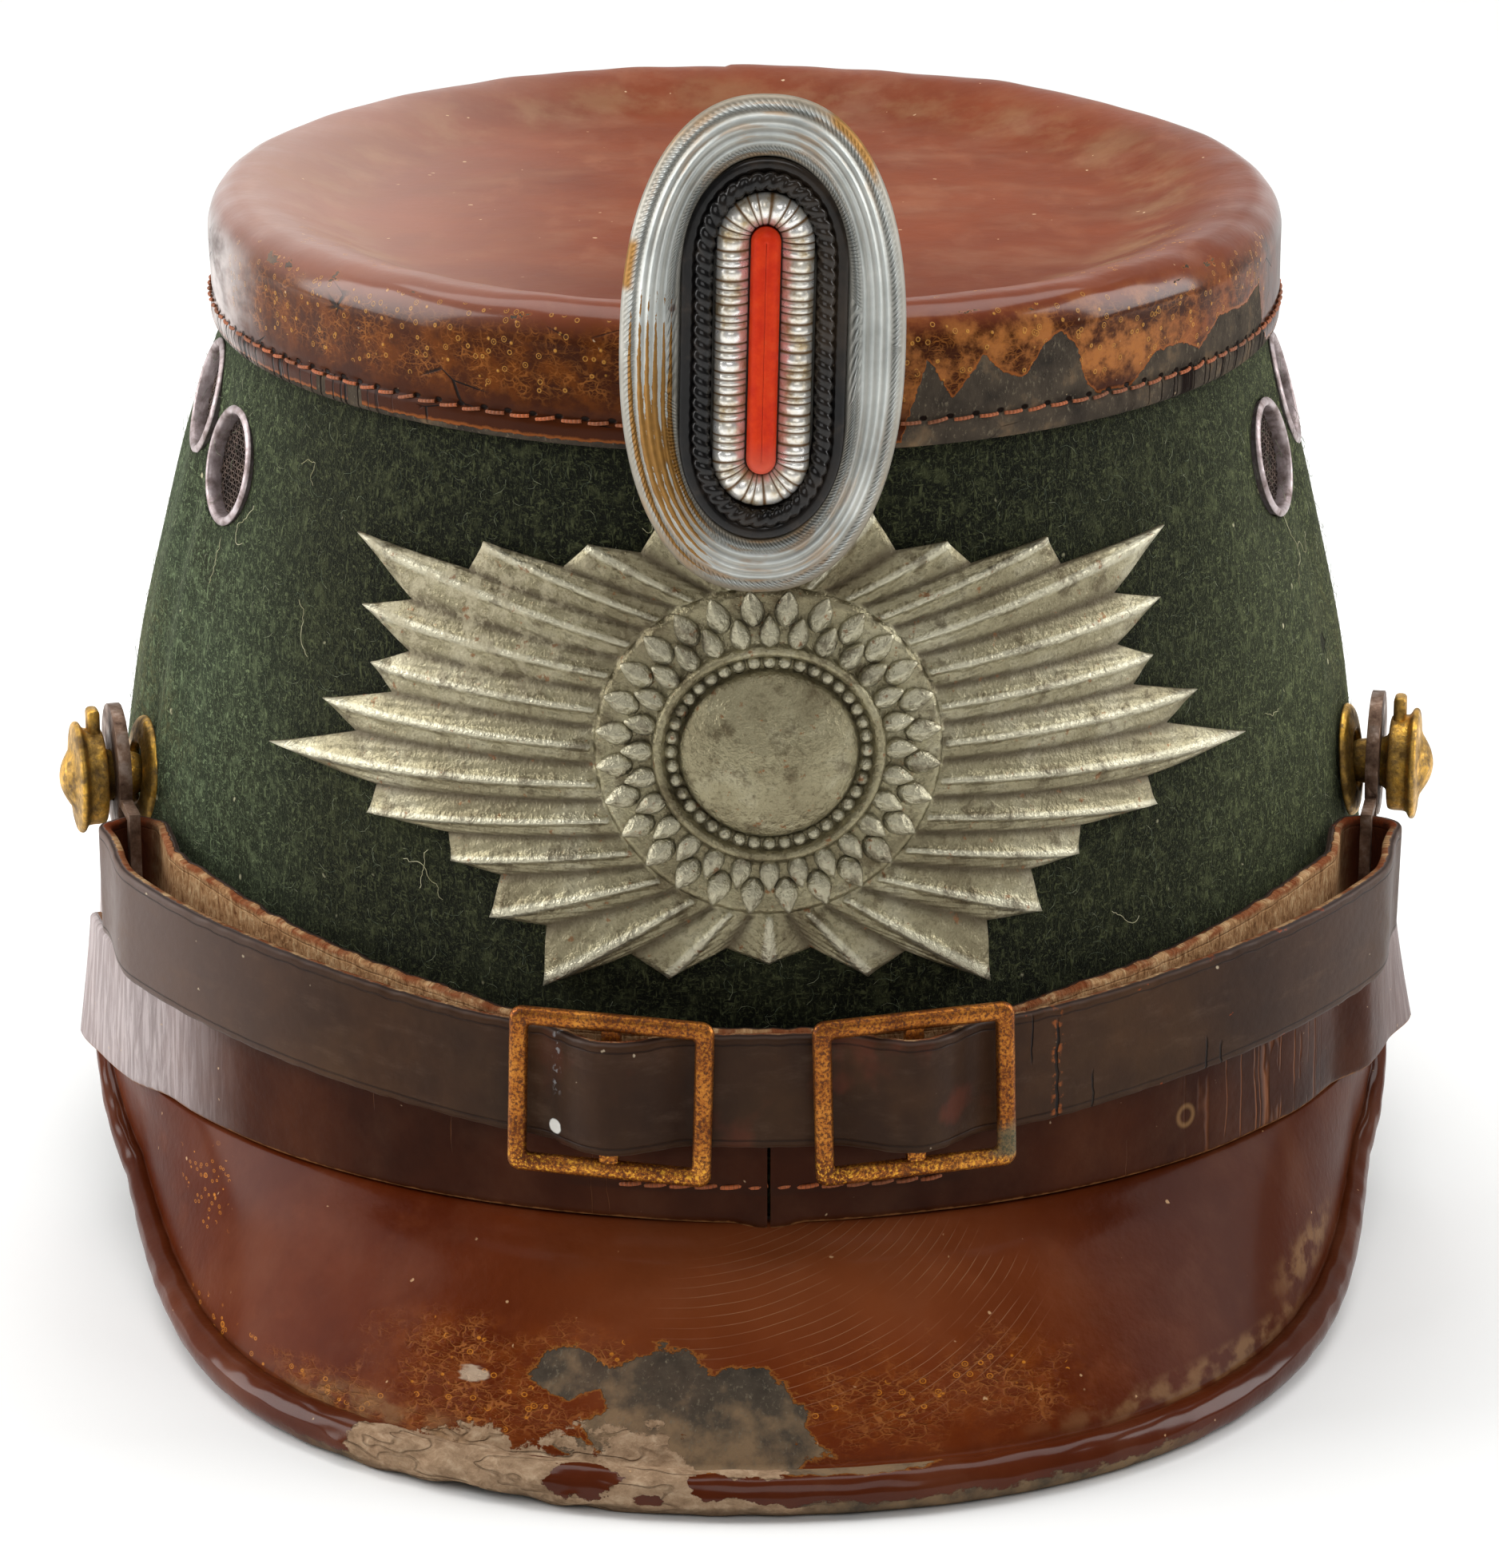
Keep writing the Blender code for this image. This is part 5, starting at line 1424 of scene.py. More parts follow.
def outer_offset(degrees):
    loose = 2 * STRAP_TURN_RADIUS - STRAP_THICKNESS - LAYER_GAP
    away = np.abs(np.abs(degrees) - by_side(BUCKLE_ANGLE, degrees))
    half_window = math.degrees((BUCKLE_WIDTH / 2 - BUCKLE_BAR - 0.001) / FOOT[0])
    near_bar = 0.5 + 0.5 * np.cos(math.pi * np.minimum(away / half_window, 1))
    over_bar = (BUCKLE_DEPTH + STRAP_THICKNESS + 0.0012) * near_bar
    layer_gap = LAYER_GAP + loose * smooth_step(24, 56, np.abs(degrees))
    return inner_offset(degrees) + STRAP_THICKNESS + layer_gap + over_bar


front = STRAP_TURN_ANGLE
outer_turns = np.linspace(-front, front, OUTER_COLUMNS)
inner_turns = np.linspace(front, -front, INNER_COLUMNS)
end_turn = math.radians(front)
speed = math.radians(1) * math.hypot(FOOT[0] * math.cos(end_turn), FOOT[1] * math.sin(end_turn))
bow = np.radians(np.linspace(0, 180, 28)[1:-1])
bow_ahead = STRAP_TURN_RADIUS * np.sin(bow) / speed
bow_out = float(inner_offset(front)) + STRAP_TURN_RADIUS * (1 + np.cos(bow))
route = np.concatenate([outer_turns, front + bow_ahead, inner_turns, -front - bow_ahead[::-1]])
offset = np.concatenate([outer_offset(outer_turns), bow_out, inner_offset(inner_turns), bow_out[::-1]])
fade = 0.5 * np.cos(bow)
inner_share = np.concatenate([np.zeros(OUTER_COLUMNS), 0.5 - fade, np.ones(INNER_COLUMNS), 0.5 + fade])
x, y = oval(FOOT, route, offset)
held = np.clip(route, -front, front)
lifted = INNER_LIFT * inner_share * smooth_step(17, 26, np.abs(held)) * smooth_step(front, 48, np.abs(held))
z = strap_z(held) + lifted
strap_line = np.stack([x, y], -1)
ahead = np.roll(strap_line, -1, axis=0) - np.roll(strap_line, 1, axis=0)
outside = np.stack([ahead[:, 1], -ahead[:, 0]], -1) / np.linalg.norm(ahead, axis=1)[:, None]
steps = np.linalg.norm(np.roll(strap_line, -1, axis=0) - strap_line, axis=1)
strap_along = running(steps)
half_width, half_thick = STRAP_WIDTH / 2, STRAP_THICKNESS / 2
face = np.linspace(-half_width + 0.0006, half_width - 0.0006, 13)
strap_section = [(half_thick, h) for h in face]
strap_section += [
    (half_thick * 0.94, half_width - 0.0003), (half_thick * 0.7, half_width - 0.00006), (0, half_width)
]
strap_section += [(-half_thick * 0.8, half_width - 0.0001), (-half_thick, half_width - 0.0004)]
strap_section += [(-half_thick, h) for h in face[::-1]]
strap_section += [
    (-half_thick * 0.8, -half_width + 0.0001), (0, -half_width), (half_thick * 0.8, -half_width + 0.0002)
]
rows = []
waver = 0.00016 * ripple(strap_along[:-1], 0, 0.03, 51)
frayed = 0.00008 * ripple(strap_along[:-1], 0, 0.0035, 52)
for out, up in strap_section:
    tilt = waver * up / half_width + frayed * (abs(up) > half_width * 0.93)
    side_x, side_y = (outside * (out + tilt)[:, None]).T
    rows.append(np.stack([x + side_x, y + side_y, z + up + frayed * (1 if up > 0 else -0.2)], -1))
side_mark = np.array([[out / half_thick] for out, _ in strap_section])
height_mark = np.array([[up / half_width] for _, up in strap_section])
strap_up = [up for _, up in strap_section] + [-half_width]
round_mark = round_length(np.clip(route, -80, 80))[None, :]
strap_marks = {"grain_side": side_mark, "across": height_mark, "round": round_mark}
strap_mesh = skin("chin_strap", rows, strap_along, strap_up, marks=strap_marks)

browns = ((0.32, (42, 24, 12)), (0.55, (56, 34, 18)), (0.78, (73, 46, 25)))
waxed = {"Specular_IOR_Level": 0.1, "Coat_Roughness": 0.3}
strap_hide, r, where, _, colour = finish("strap_hide", (60, 5, 0.62), *browns, **waxed)
flat, across, grain_side, along = r.flat(), r.mark("across"), r.mark("grain_side"), r.mark("round")
off_front = along.size()
edge = across.size()
# Paler grey towards the lugs, strongest on the left: dried leather, with painted sheen from the left light.
dry_and_sheen = off_front.span(0.045, 0.098)
scuff = flat.stretch(0.35).noise(320, 5, 0.7)
rubbed_red = where.patches(130, 0.54, 0.68, 3) * off_front.span(0.03, 0.018)
crease = (edge + (flat.noise(300) - 0.5) * 0.02).window(0.835, 0.86, 0.015)
rim = edge.span(0.93, 0.99)
flecks = (flat.stretch(0.5).noise(620, 4, 0.7) + edge.span(0.8, 1) * 0.1).span(0.7, 0.74)
flecks = flecks * along.span(0.01, 0.04)
colour = r.over(
    colour,
    (dry_and_sheen * r.blend(along.span(0.02, -0.02), 0.32, 0.8), (112, 96, 90)),
    (scuff.span(0.5, 0.75) * 0.25, (104, 82, 66)),
    (rubbed_red * 0.5, (98, 46, 30)),
    (crease * 0.65, (30, 19, 17)),
    (rim * 0.45, (96, 80, 72)),
    (flecks * 0.8, (150, 66, 24)),
)
split_at = along + (flat.noise(260, 3) - 0.5) * 0.0012
splits = 0
for place_at, half, low, high in STRAP_SPLITS:
    crack = split_at.window(place_at - half, place_at + half, 0.00008) * across.window(low, high, 0.1)
    splits = r.most(splits, crack)
halo = split_at.window(0.0331, 0.0343, 0.0003)
torn = where.stray(1200, 0.0009).far((0.077, -0.0345, 0.0575)).span(0.0042, 0.0022) * edge.span(0.6, 0.8)
on_grain = r.join(along, across * (STRAP_WIDTH / 2)).stray(700, 0.0003)
drop = on_grain.far((-0.0236, -0.005, 0)).span(0.001, 0.0008) * grain_side.span(0.8, 0.9)
smear = along.window(-0.0238, -0.0228, 0.0003) * flat.patches(1100, 0.54, 0.62, 3)
settled = r.effect(dust, Place=where, Amount=0.9)
fuzz = flat.stretch(y=0.35, turn=20).noise(1900, 4, 0.7, 0.5)
patch = flat.noise(330, 4, 0.6)
flesh = (fuzz * 0.6 + patch * 0.4).ramp((0.34, (98, 58, 32)), (0.5, (178, 136, 94)), (0.66, (220, 188, 144)))
turned_in = off_front.span(0.094, 0.101)
split_edge = edge.span(0.86, 0.96) * flat.stretch(0.4).patches(700, 0.42, 0.56, 3)
flesh = r.over(flesh, (turned_in, (84, 42, 22)), (split_edge * 0.75, (120, 52, 22)))
is_flesh = (grain_side + (flat.noise(1200) - 0.5) * 0.8).span(0.2, -0.1)
dark_cut = grain_side.window(0.3, 0.75, 0.15) * rim
r.set(Base_Color=r.over(
    colour,
    (halo * flat.patches(900, 0.5, 0.6) * 0.7, (156, 84, 36)),
    (splits, (20, 12, 9)),
    (torn * 0.85, (158, 72, 28)),
    (drop, (236, 234, 226)),
    (smear * across.span(-0.2, 0.1) * 0.7, (150, 150, 152)),
    (settled["Film"] * 0.12, (126, 100, 74)),
    (settled["Specks"] * 0.8, (196, 178, 150)),
    (is_flesh, flesh),
    (dark_cut * 0.8, (40, 26, 22)),
))
rough = 0.4 + scuff * 0.16 + settled["Film"] * 0.3
r.set(Roughness=rough + is_flesh * 0.45, Coat_Weight=(1 - r.most(is_flesh, torn)) * 0.07)
pebble = r.effect(grain, Place=where, Size=0.9)
height = pebble * 0.3 + fuzz * is_flesh * 2.2 - splits * 2.5 - crease * 0.6
r.set(Normal=r.relief(height + (where.noise(420, 3) * 0.35 + drop), 0.0002))
fit("chin_strap_leather", strap_mesh, "chin_strap", "strap_leather", strap_hide)

# ---- buckles ----
# Two slide buckles bent from brass strip that has gone brown and copper-coloured. The middle bar lies behind
# the strap's outer layer; only its foot shows, on the lower rail.

BUCKLE_HEIGHT = 0.0205
BUCKLE_ROLL = 1.5
BAR = (  # section of the middle bar: across it, height above its back
    (-0.0011, 0.0002), (0.0011, 0.0002), (0.0011, 0.0012), (0.0007, 0.0014), (-0.0007, 0.0014),
    (-0.0011, 0.0012),
)
RAIL = (  # section of the frame: in from its outer edge, height above its back
    (0.0001, 0.0004), (0, 0.0009), (0.0002, 0.0014), (0.0006, 0.0017), (0.0016, 0.0017), (0.0021, 0.0014),
    (0.0023, 0.0009), (0.0022, 0.0003), (0.0016, 0), (0.0006, 0),
)


def buckle_rail(inset, height):
    """Points round the frame at a depth in from its edge."""
    radius = max(0.0004, 0.0015 - inset * 0.45)
    half_x, half_y = BUCKLE_WIDTH / 2 - inset - radius, BUCKLE_HEIGHT / 2 - inset - radius
    points = []
    middles = ((half_x, half_y), (-half_x, half_y), (-half_x, -half_y), (half_x, -half_y))
    for corner, (cx, cy) in enumerate(middles):
        for a in np.radians(np.linspace(90 * corner, 90 * corner + 90, 7)):
            points.append((cx + radius * math.cos(a), cy + radius * math.sin(a)))
        x, y = points[-1]
        nx, ny = ((-half_x, y), (x, -half_y), (half_x, y), (x, half_y))[corner]
        points += [(x + (nx - x) * share, y + (ny - y) * share) for share in np.linspace(0, 1, 14)[1:-1]]
    return np.array([(*point, height) for point in points])


coppers = ((0.32, (112, 58, 24)), (0.52, (164, 96, 38)), (0.72, (198, 130, 56)))
copper_brass, r, where, _, colour = finish("copper_brass", (160, 4, 0.6), *coppers)
speckle = where.noise(2600, 3, 0.7)
rails = where.split()[2].span(0.0385, 0.0352)
gold = speckle.span(0.47, 0.38) * (0.25 + rails * 0.7)
verdigris = where.stray(500, 0.0016).far((0.0285, -0.101, 0.0372)).span(0.0034, 0.0016)
r.set(Base_Color=r.over(
    colour,
    (speckle.span(0.48, 0.6) * 0.75, (66, 34, 15)),
    (gold * 0.8, (238, 178, 60)),
    (verdigris * 0.75, (58, 76, 56)),
))
dull = speckle.span(0.48, 0.6) * 0.22 + verdigris * 0.3
r.set(
    Roughness=dull + 0.38,
    Metallic=r.sums("SUBTRACT", 0.86, verdigris + speckle.span(0.52, 0.62) * 0.3, clamp=True),
    Normal=r.relief(where.noise(900, 4) - speckle, 0.00005),
)

for word, side in SIDES.items():
    degrees = side * BUCKLE_ANGLE[side]
    flat_out = float(inner_offset(0)) + STRAP_THICKNESS * 1.5 + LAYER_GAP + GAP + 0.0004
    x, y = oval(FOOT, degrees, flat_out)
    lean = math.atan2(FOOT[1] * math.sin(math.radians(degrees)), FOOT[0] * math.cos(math.radians(degrees)))
    frame = Matrix.Translation((x, y, float(strap_z(degrees)) - 0.0004)) @ Matrix.Rotation(lean, 4, "Z")
    frame = frame @ Matrix.Rotation(math.radians(-side * BUCKLE_ROLL), 4, "Y")
    frame = frame @ Matrix.Rotation(math.radians(90), 4, "X")
    section = eased(RAIL, 1)
    rails = [put(frame, buckle_rail(inset, height)) for inset, height in section]
    count = rails[0].shape[0]
    rail_mesh = skin("rail", rails, np.linspace(0, 0.09, count + 1), np.linspace(0, 0.006, len(section) + 1))
    reach = BUCKLE_HEIGHT / 2 - BUCKLE_BAR * 0.35
    bar_rows = np.array([[(bx, by, bz) for by in np.linspace(-reach, reach, 9)] for bx, bz in BAR])
    bar_rows, bar_along, _ = capped(bar_rows, np.linspace(0, 0.02, 9))
    bar_mesh = skin("bar", put(frame, bar_rows), bar_along, np.linspace(0, 0.006, 7), around=False, sharp=40)
    buckle_mesh = joined(f"buckle_{word}", rail_mesh, bar_mesh)
    fit(f"buckle_{word}_frame", buckle_mesh, f"buckle_{word}", "aged_brass", copper_brass)

# ---- side fittings ----
# At each side a brass washer lies against the cloth, and a turned brass post goes through it with a lug on
# its stem. The post's head is a drum with a rim, a flange and a small dome, and a key stands on top. The lug
# is a flat plate.

POST_ANGLE = 70
POST_Z = 0.063
POST_DIRECTION = 77
WASHER = (  # radius, height above the cloth
    (0.0037, 0.0004), (0.0072, 0.0004), (0.0073, 0.0009), (0.0068, 0.0015), (0.0052, 0.0017), (0.0037, 0.002),
)
POST = (  # radius, height above the cloth
    (0, 0.0008), (0.0029, 0.0008), (0.0029, 0.0057), (0.0056, 0.0058), (0.0062, 0.0061), (0.0062, 0.0082),
    (0.0066, 0.0085), (0.0072, 0.0088), (0.0071, 0.0094), (0.0064, 0.0096), (0.0052, 0.0097),
    (0.004, 0.0099), (0.0034, 0.0103), (0.0022, 0.011), (0.001, 0.0114), (0, 0.0115),
)
KEY = ((-0.0016, 0.0034, 0.0062), (0.0016, 0.009, 0.0078))  # its low and high corners in the post's own axes


def softened_block(name, frame, corners, bevel):
    """A small block with its edges rounded, given its low and high corners."""
    low, high = Vector(corners[0]), Vector(corners[1])
    bm = bmesh.new()
    bmesh.ops.create_cube(bm, size=1)
    for vertex in bm.verts:
        vertex.co = [(low[i] + high[i]) / 2 + vertex.co[i] * (high[i] - low[i]) for i in range(3)]
    bmesh.ops.bevel(bm, geom=bm.edges[:] + bm.verts[:], offset=bevel, segments=3, affect="EDGES", profile=0.5)
    bmesh.ops.transform(bm, matrix=frame, verts=bm.verts)
    return closed(as_mesh(name, bm))


def dressed(name, node, width):
    """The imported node's own mesh with its edges rounded."""
    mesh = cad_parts[node].data.copy()
    made = place(name, closed(mesh))
    rounding = made.modifiers.new("rounding", "BEVEL")
    rounding.width = width
    rounding.segments = 3
    rounding.limit_method = "ANGLE"
    rounding.angle_limit = math.radians(30)
    mesh = plain_mesh(made, name)
    mesh.shade_smooth()
    mesh.set_sharp_from_angle(angle=math.radians(40))
    return mesh


golds = ((0.34, (110, 84, 44)), (0.48, (168, 132, 66)), (0.62, (218, 168, 70)), (0.75, (246, 200, 96)))
old_brass, r, where, cloud, colour = finish("old_brass", (330, 4, 0.65), *golds)
speckle = where.noise(1300, 3, 0.6)
r.set(
    Base_Color=r.mix(speckle.span(0.52, 0.68) * 0.6, colour, (70, 48, 24)),
    Roughness=cloud.span(0.35, 0.7, 0.62, 0.36),
    Metallic=speckle.span(0.66, 0.48, 0.45, 0.9),
    Normal=r.relief(cloud + speckle, 0.00012),
)

browns = ((0.32, (70, 48, 36)), (0.52, (116, 92, 76)), (0.74, (158, 140, 128)))
brown_steel, r, where, cloud, _ = finish("brown_steel", (420, 5, 0.65), *browns, Metallic=0.8)
r.set(Roughness=cloud.span(0.3, 0.7, 0.62, 0.4), Normal=r.relief(where.noise(1100, 4), 0.0001))

for word, side in SIDES.items():
    washer_mesh = turned(f"side_washer_{word}", eased(WASHER, 2), wall_frame(side * POST_ANGLE, POST_Z))
    frame = wall_frame(side * POST_ANGLE, POST_Z, POST_DIRECTION)
    head_mesh = turned("head", eased(POST, 2, loop=False), frame)
    post_mesh = joined(f"side_post_{word}", head_mesh, softened_block("key", frame, KEY, 0.0006))
    lug_mesh = dressed(f"strap_lug_{word}", f"strap_lug_{word}", 0.00042)
    fit(f"side_washer_{word}_brass", washer_mesh, f"side_washer_{word}", "aged_brass", old_brass)
    fit(f"side_post_{word}_brass", post_mesh, f"side_post_{word}", "aged_brass", old_brass)
    fit(f"strap_lug_{word}_plate", lug_mesh, f"strap_lug_{word}", "dull_steel", brown_steel)

# ---- front plate ----
# A badge cast in white metal and bent round the wall: fluted rays, a ring of small leaves, a beaded circle
# and a plain domed boss. It has dulled to a grey yellow, brown in the hollows, and the crests are painted
# bright: rubbed metal with painted highlight.

PLATE_Z = 0.0845
PLATE_HALF_WIDTH = 0.06
PLATE_HALF_HEIGHT = 0.0335
PLATE_RAYS = 28
PLATE_STAND_OFF = 0.0008
RAY_FOOT = 0.02
RAY_COLUMNS = 22
RAY_REACH = (1, 0.86, 0.78, 0.86)  # share of the plate's half size, in turn round the plate
HUB = (  # radius, height: from the leaf ring's outer edge in over its bed, the bead circle and the boss
    (0.0196, 0.0014), (0.019, 0.0022), (0.018, 0.0019), (0.014, 0.0017), (0.0131, 0.002),
    (0.0127, 0.003), (0.0122, 0.0032), (0.0117, 0.0028), (0.0114, 0.0016), (0.0104, 0.0014),
    (0.01, 0.0018), (0.0097, 0.0026), (0.0086, 0.0033), (0.0062, 0.0042), (0.003, 0.0048), (0, 0.005),
)
LEAF_ROWS = (  # radius, count, length, width, stagger
    (0.0172, 28, 0.0044, 0.003, 0.5), (0.0145, 28, 0.004, 0.0026, 0),
)
BEAD_CIRCLE = (0.0109, 40, 0.00165)  # radius, count, size of each bead


def wall_front(x, z, outward):
    """Points of the wall's front that lie behind (x, z) in a front view, moved outward."""
    x, z, outward = np.broadcast_arrays(x, z, outward)
    y = np.full(x.shape, OVAL_Y - FOOT[1])
    for _ in range(4):
        width, length, centre = wall_sizes(wall_share(z, y))
        sine = np.clip(x / width, -1, 1)
        y = centre - length * np.sqrt(1 - sine**2)
    px, py = oval((width, length, centre), np.degrees(np.arcsin(sine)), outward)
    return np.stack([px, py, z], -1)


spokes = np.arange(PLATE_RAYS * RAY_COLUMNS)
turn = math.tau * spokes / len(spokes)
ray, within = spokes // RAY_COLUMNS, spokes % RAY_COLUMNS / RAY_COLUMNS
tips = np.array([RAY_REACH[i % 4] for i in range(PLATE_RAYS + 1)])
valley_reach = np.minimum(tips[ray], tips[ray + 1]) * 0.93
off_crest = np.abs(((within + 0.5) % 1) - 0.5) * 2  # 0 on a ray's crest and 1 in the valley beside it
own_tip = np.where(within < 0.5, tips[ray], tips[ray + 1])
ray_reach = own_tip + (valley_reach - own_tip) * off_crest**0.85
flute = np.cos(off_crest * math.pi * 2.5) * 0.16 * (1 - off_crest)


def plate_row(share, height):
    """A row of the rays, share of the way from their feet to their tips."""
    size_x = RAY_FOOT + (PLATE_HALF_WIDTH * ray_reach - RAY_FOOT) * share
    size_z = RAY_FOOT + (PLATE_HALF_HEIGHT * ray_reach - RAY_FOOT) * share
    return wall_front(size_x * np.sin(turn), PLATE_Z + size_z * np.cos(turn), PLATE_STAND_OFF + height)


def hub_row(radius, height):
    return wall_front(radius * np.sin(turn), PLATE_Z + radius * np.cos(turn), PLATE_STAND_OFF + height)


rows = [hub_row(0, 0), hub_row(0.0105, 0), hub_row(RAY_FOOT, 0)]
rows += [plate_row(share, 0) for share in (0.35, 0.7, 0.985)] + [plate_row(1, 0.00025)]
crest, radial = [0] * 7, [0, 0.01, 0.02, 0.03, 0.04, 0.055, 0.056]
for share in np.linspace(0.995, 0, 42):
    full = 0.001 + 0.0011 * (1 - share) + 0.0002 * math.sin(math.pi * share)
    body = 1 - 0.52 * off_crest**1.3 + flute
    edge = smooth_step(1, 0.93, share)
    barb = 0.00007 * np.sin((share * 46 + off_crest * 2.2) * math.tau)
    barb = barb * smooth_step(0.06, 0.22, off_crest) * edge
    rows.append(plate_row(share, full * body * (0.55 + 0.45 * edge) + barb))
    crest.append(body)
    radial.append(0.06 + (1 - share) * 0.03)
for radius, height in eased(HUB, 2, loop=False):
    rows.append(hub_row(radius, height))
    crest.append(0.8)
    radial.append(0.12 - radius)
valley_mark = 1 - np.array([np.broadcast_to(values, turn.shape) for values in crest])
plate_along = np.append(turn, math.tau) * 0.03
plate_mesh = skin("front_plate", rows, plate_along, radial + [0.13], marks={"valley": valley_mark})


# A small cast leaf or bead: with a Point of 1 a leaf with a raised rib, its tip outwards, and with 0 a bead.
cast_ornament, g = shape_nodes(
    "cast_ornament", Ornament_Length=0.004, Ornament_Width=0.003, Rise=0.001, Point=1
)
x, y, z = g.add("GeometryNodeInputPosition").split()
ahead, point = g.most(x, 0), g.given["Point"]
rib = g.most(1 - y.size() * 4, 0) * (point * 0.35)
curl = ahead * ahead * (point * 0.5)
long_x = x * (g.given["Ornament Length"] * 0.5)
wide_y = y * (1 - ahead * point * 0.55) * (g.given["Ornament Width"] * 0.5)
leaf = g.join(long_x, wide_y, (z + curl + rib * g.most(z, 0)) * g.given["Rise"])
ball = g.add("GeometryNodeMeshUVSphere", Segments=14, Rings=8)
done(g, stand(g, g.add("GeometryNodeSetPosition", Geometry=ball, Position=leaf)))


def set_round(name, radius, count, height, stagger, **sizes):
    """Ornaments set round a circle on the plate, pointing outwards from its middle."""
    a = math.tau * (np.arange(count) + stagger) / count

    def at(size, rise):
        return wall_front(size * np.sin(a), PLATE_Z + size * np.cos(a), PLATE_STAND_OFF + rise)

    sewn, out = at(radius + 0.001, height) - at(radius, height), at(radius, 0.002) - at(radius, 0)
    seats = settings(name, at(radius, height), sewn, out)
    return run_nodes(name, seats, cast_ornament, Finish=white_metal, **sizes)


greys = ((0.3, (118, 108, 82)), (0.52, (156, 148, 118)), (0.74, (196, 190, 164)))
white_metal, r, where, _, colour = finish("aged_white_metal", (75, 5, 0.65), *greys)
x_place, _, z_place = where.split()
grit = where.noise(1500, 3, 0.7)
hollow = r.mark("valley").span(0.15, 0.55)
brown = where.patches(260, 0.5, 0.66, 5, 0.7) * 0.65
crust = x_place.span(-0.006, -0.034) * z_place.span(0.082, 0.098) * where.patches(420, 0.46, 0.6, 5, 0.7)
rust = where.patches(700, 0.64, 0.7, 4, 0.6) * 0.7
r.set(Base_Color=r.over(
    colour,
    (grit.span(0.5, 0.7) * 0.45, (96, 86, 62)),
    # painted highlight: the crests are painted bright, over their rubbed metal
    (r.mark("valley").span(0.1, -0.05) * 0.45, (222, 218, 196)),
    (r.most(brown, hollow * 0.85), (74, 60, 38)),
    (crust * 0.7, (186, 176, 146)),
    (rust, (130, 82, 44)),
))
dull = grit * 0.2 + (crust * 0.3 + hollow * 0.25)
r.set(
    Roughness=dull + 0.28,
    Metallic=r.sums("SUBTRACT", 0.8, r.most(crust * 0.6, hollow * 0.4), clamp=True),
)
r.set(Normal=r.relief(grit + where.noise(520, 4, 0.6) * 1.6, 0.00022))
fit("front_plate_rays", plate_mesh, "front_plate", "cast_white_metal", white_metal)

leaf_meshes = []
for radius, count, length, width, stagger in LEAF_ROWS:
    leaf = {"Ornament_Length": length, "Ornament_Width": width, "Rise": 0.0009}
    leaf_meshes.append(set_round("leaves", radius, count, 0.0019 + 0.0003 * (stagger == 0), stagger, **leaf))
fit("front_plate_leaves", joined("leaves", *leaf_meshes), None, "cast_white_metal", white_metal)
radius, count, size = BEAD_CIRCLE
bead = {"Ornament_Length": size, "Ornament_Width": size, "Rise": size / 2, "Point": 0.0}
bead_mesh = set_round("beads", radius, count, 0.0018, 0, **bead)
fit("front_plate_beads", bead_mesh, None, "cast_white_metal", white_metal)

# ---- cockade ----
# An oval plate pressed from silvered brass in fine ridges, two of them roped. It carries a black painted ring
# with a twisted cord, a ring wound with silver wire and a red bar. The silver has worn through to brass low
# on its left.

COCKADE_X = -0.001
COCKADE_Z = 0.1333
COCKADE_HALF_WIDTH = 0.016
COCKADE_HALF_HEIGHT = 0.0283
COCKADE_BAR = 0.0033
COCKADE_BACK = 0.1078
COCKADE_LEAN = 1.3  # degrees, its top to the right
SEAT = 0.0012  # height of the rings' backs
ROPED_RIDGES = ((0.00115, 0.00075), (0.0057, 0.0007))  # how far in from the edge, and how wide
PLAIN_RIDGES = ((0.0022, 0.0009), (0.0031, 0.0009), (0.004, 0.0009), (0.0049, 0.0008))
ROPE_PITCH = 0.00056


def oval_ring(inset, forward, count):
    """Points of a ring in from the cockade's edge: an oval, with straighter sides towards the middle."""
    a = math.tau * (np.arange(count) + 0.5) / count
    inset, forward = np.broadcast_to(inset, a.shape), np.broadcast_to(forward, a.shape)
    half_width, half_height = COCKADE_HALF_WIDTH - inset, COCKADE_HALF_HEIGHT - inset
    straight = smooth_step(0, 0.8, inset / COCKADE_HALF_WIDTH)
    cosine, sine = np.cos(a), np.sin(a)
    oval_x = half_width * np.sign(cosine) * np.abs(cosine) ** (2 / 2.3)
    oval_z = half_height * np.sign(sine) * np.abs(sine) ** (2 / 2.3)
    slot_z = half_width * sine + np.sign(sine) * (half_height - half_width)
    x, z = oval_x + (half_width * cosine - oval_x) * straight, oval_z + (slot_z - oval_z) * straight
    lean = math.radians(COCKADE_LEAN)
    x, z = x * math.cos(lean) + z * math.sin(lean), z * math.cos(lean) - x * math.sin(lean)
    return np.stack([COCKADE_X + x, OVAL_Y - COCKADE_BACK - forward, COCKADE_Z + z], -1)


def ring_length(inset, count):
    """Distance along a ring to each of its points, and all the way round."""
    points = oval_ring(inset, 0, count)
    steps = np.linalg.norm(np.roll(points, -1, axis=0) - points, axis=1)
    return running(steps)


def even_ring(inset, forward, count):
    """A ring's points at even steps of its length, the way inwards at each, and the distance along it."""
    fine, length = oval_ring(inset, forward, 4000), ring_length(inset, 4000)
    at = np.linspace(0, length[-1], count, endpoint=False)
    whole = np.concatenate([fine, fine[:1]])
    points = np.stack([np.interp(at, length, whole[:, k]) for k in range(3)], -1)
    ahead = np.roll(points, -1, axis=0) - np.roll(points, 1, axis=0)
    inward = np.cross([0, -1, 0], ahead / np.linalg.norm(ahead, axis=1)[:, None])
    return points, inward, np.append(at, length[-1])


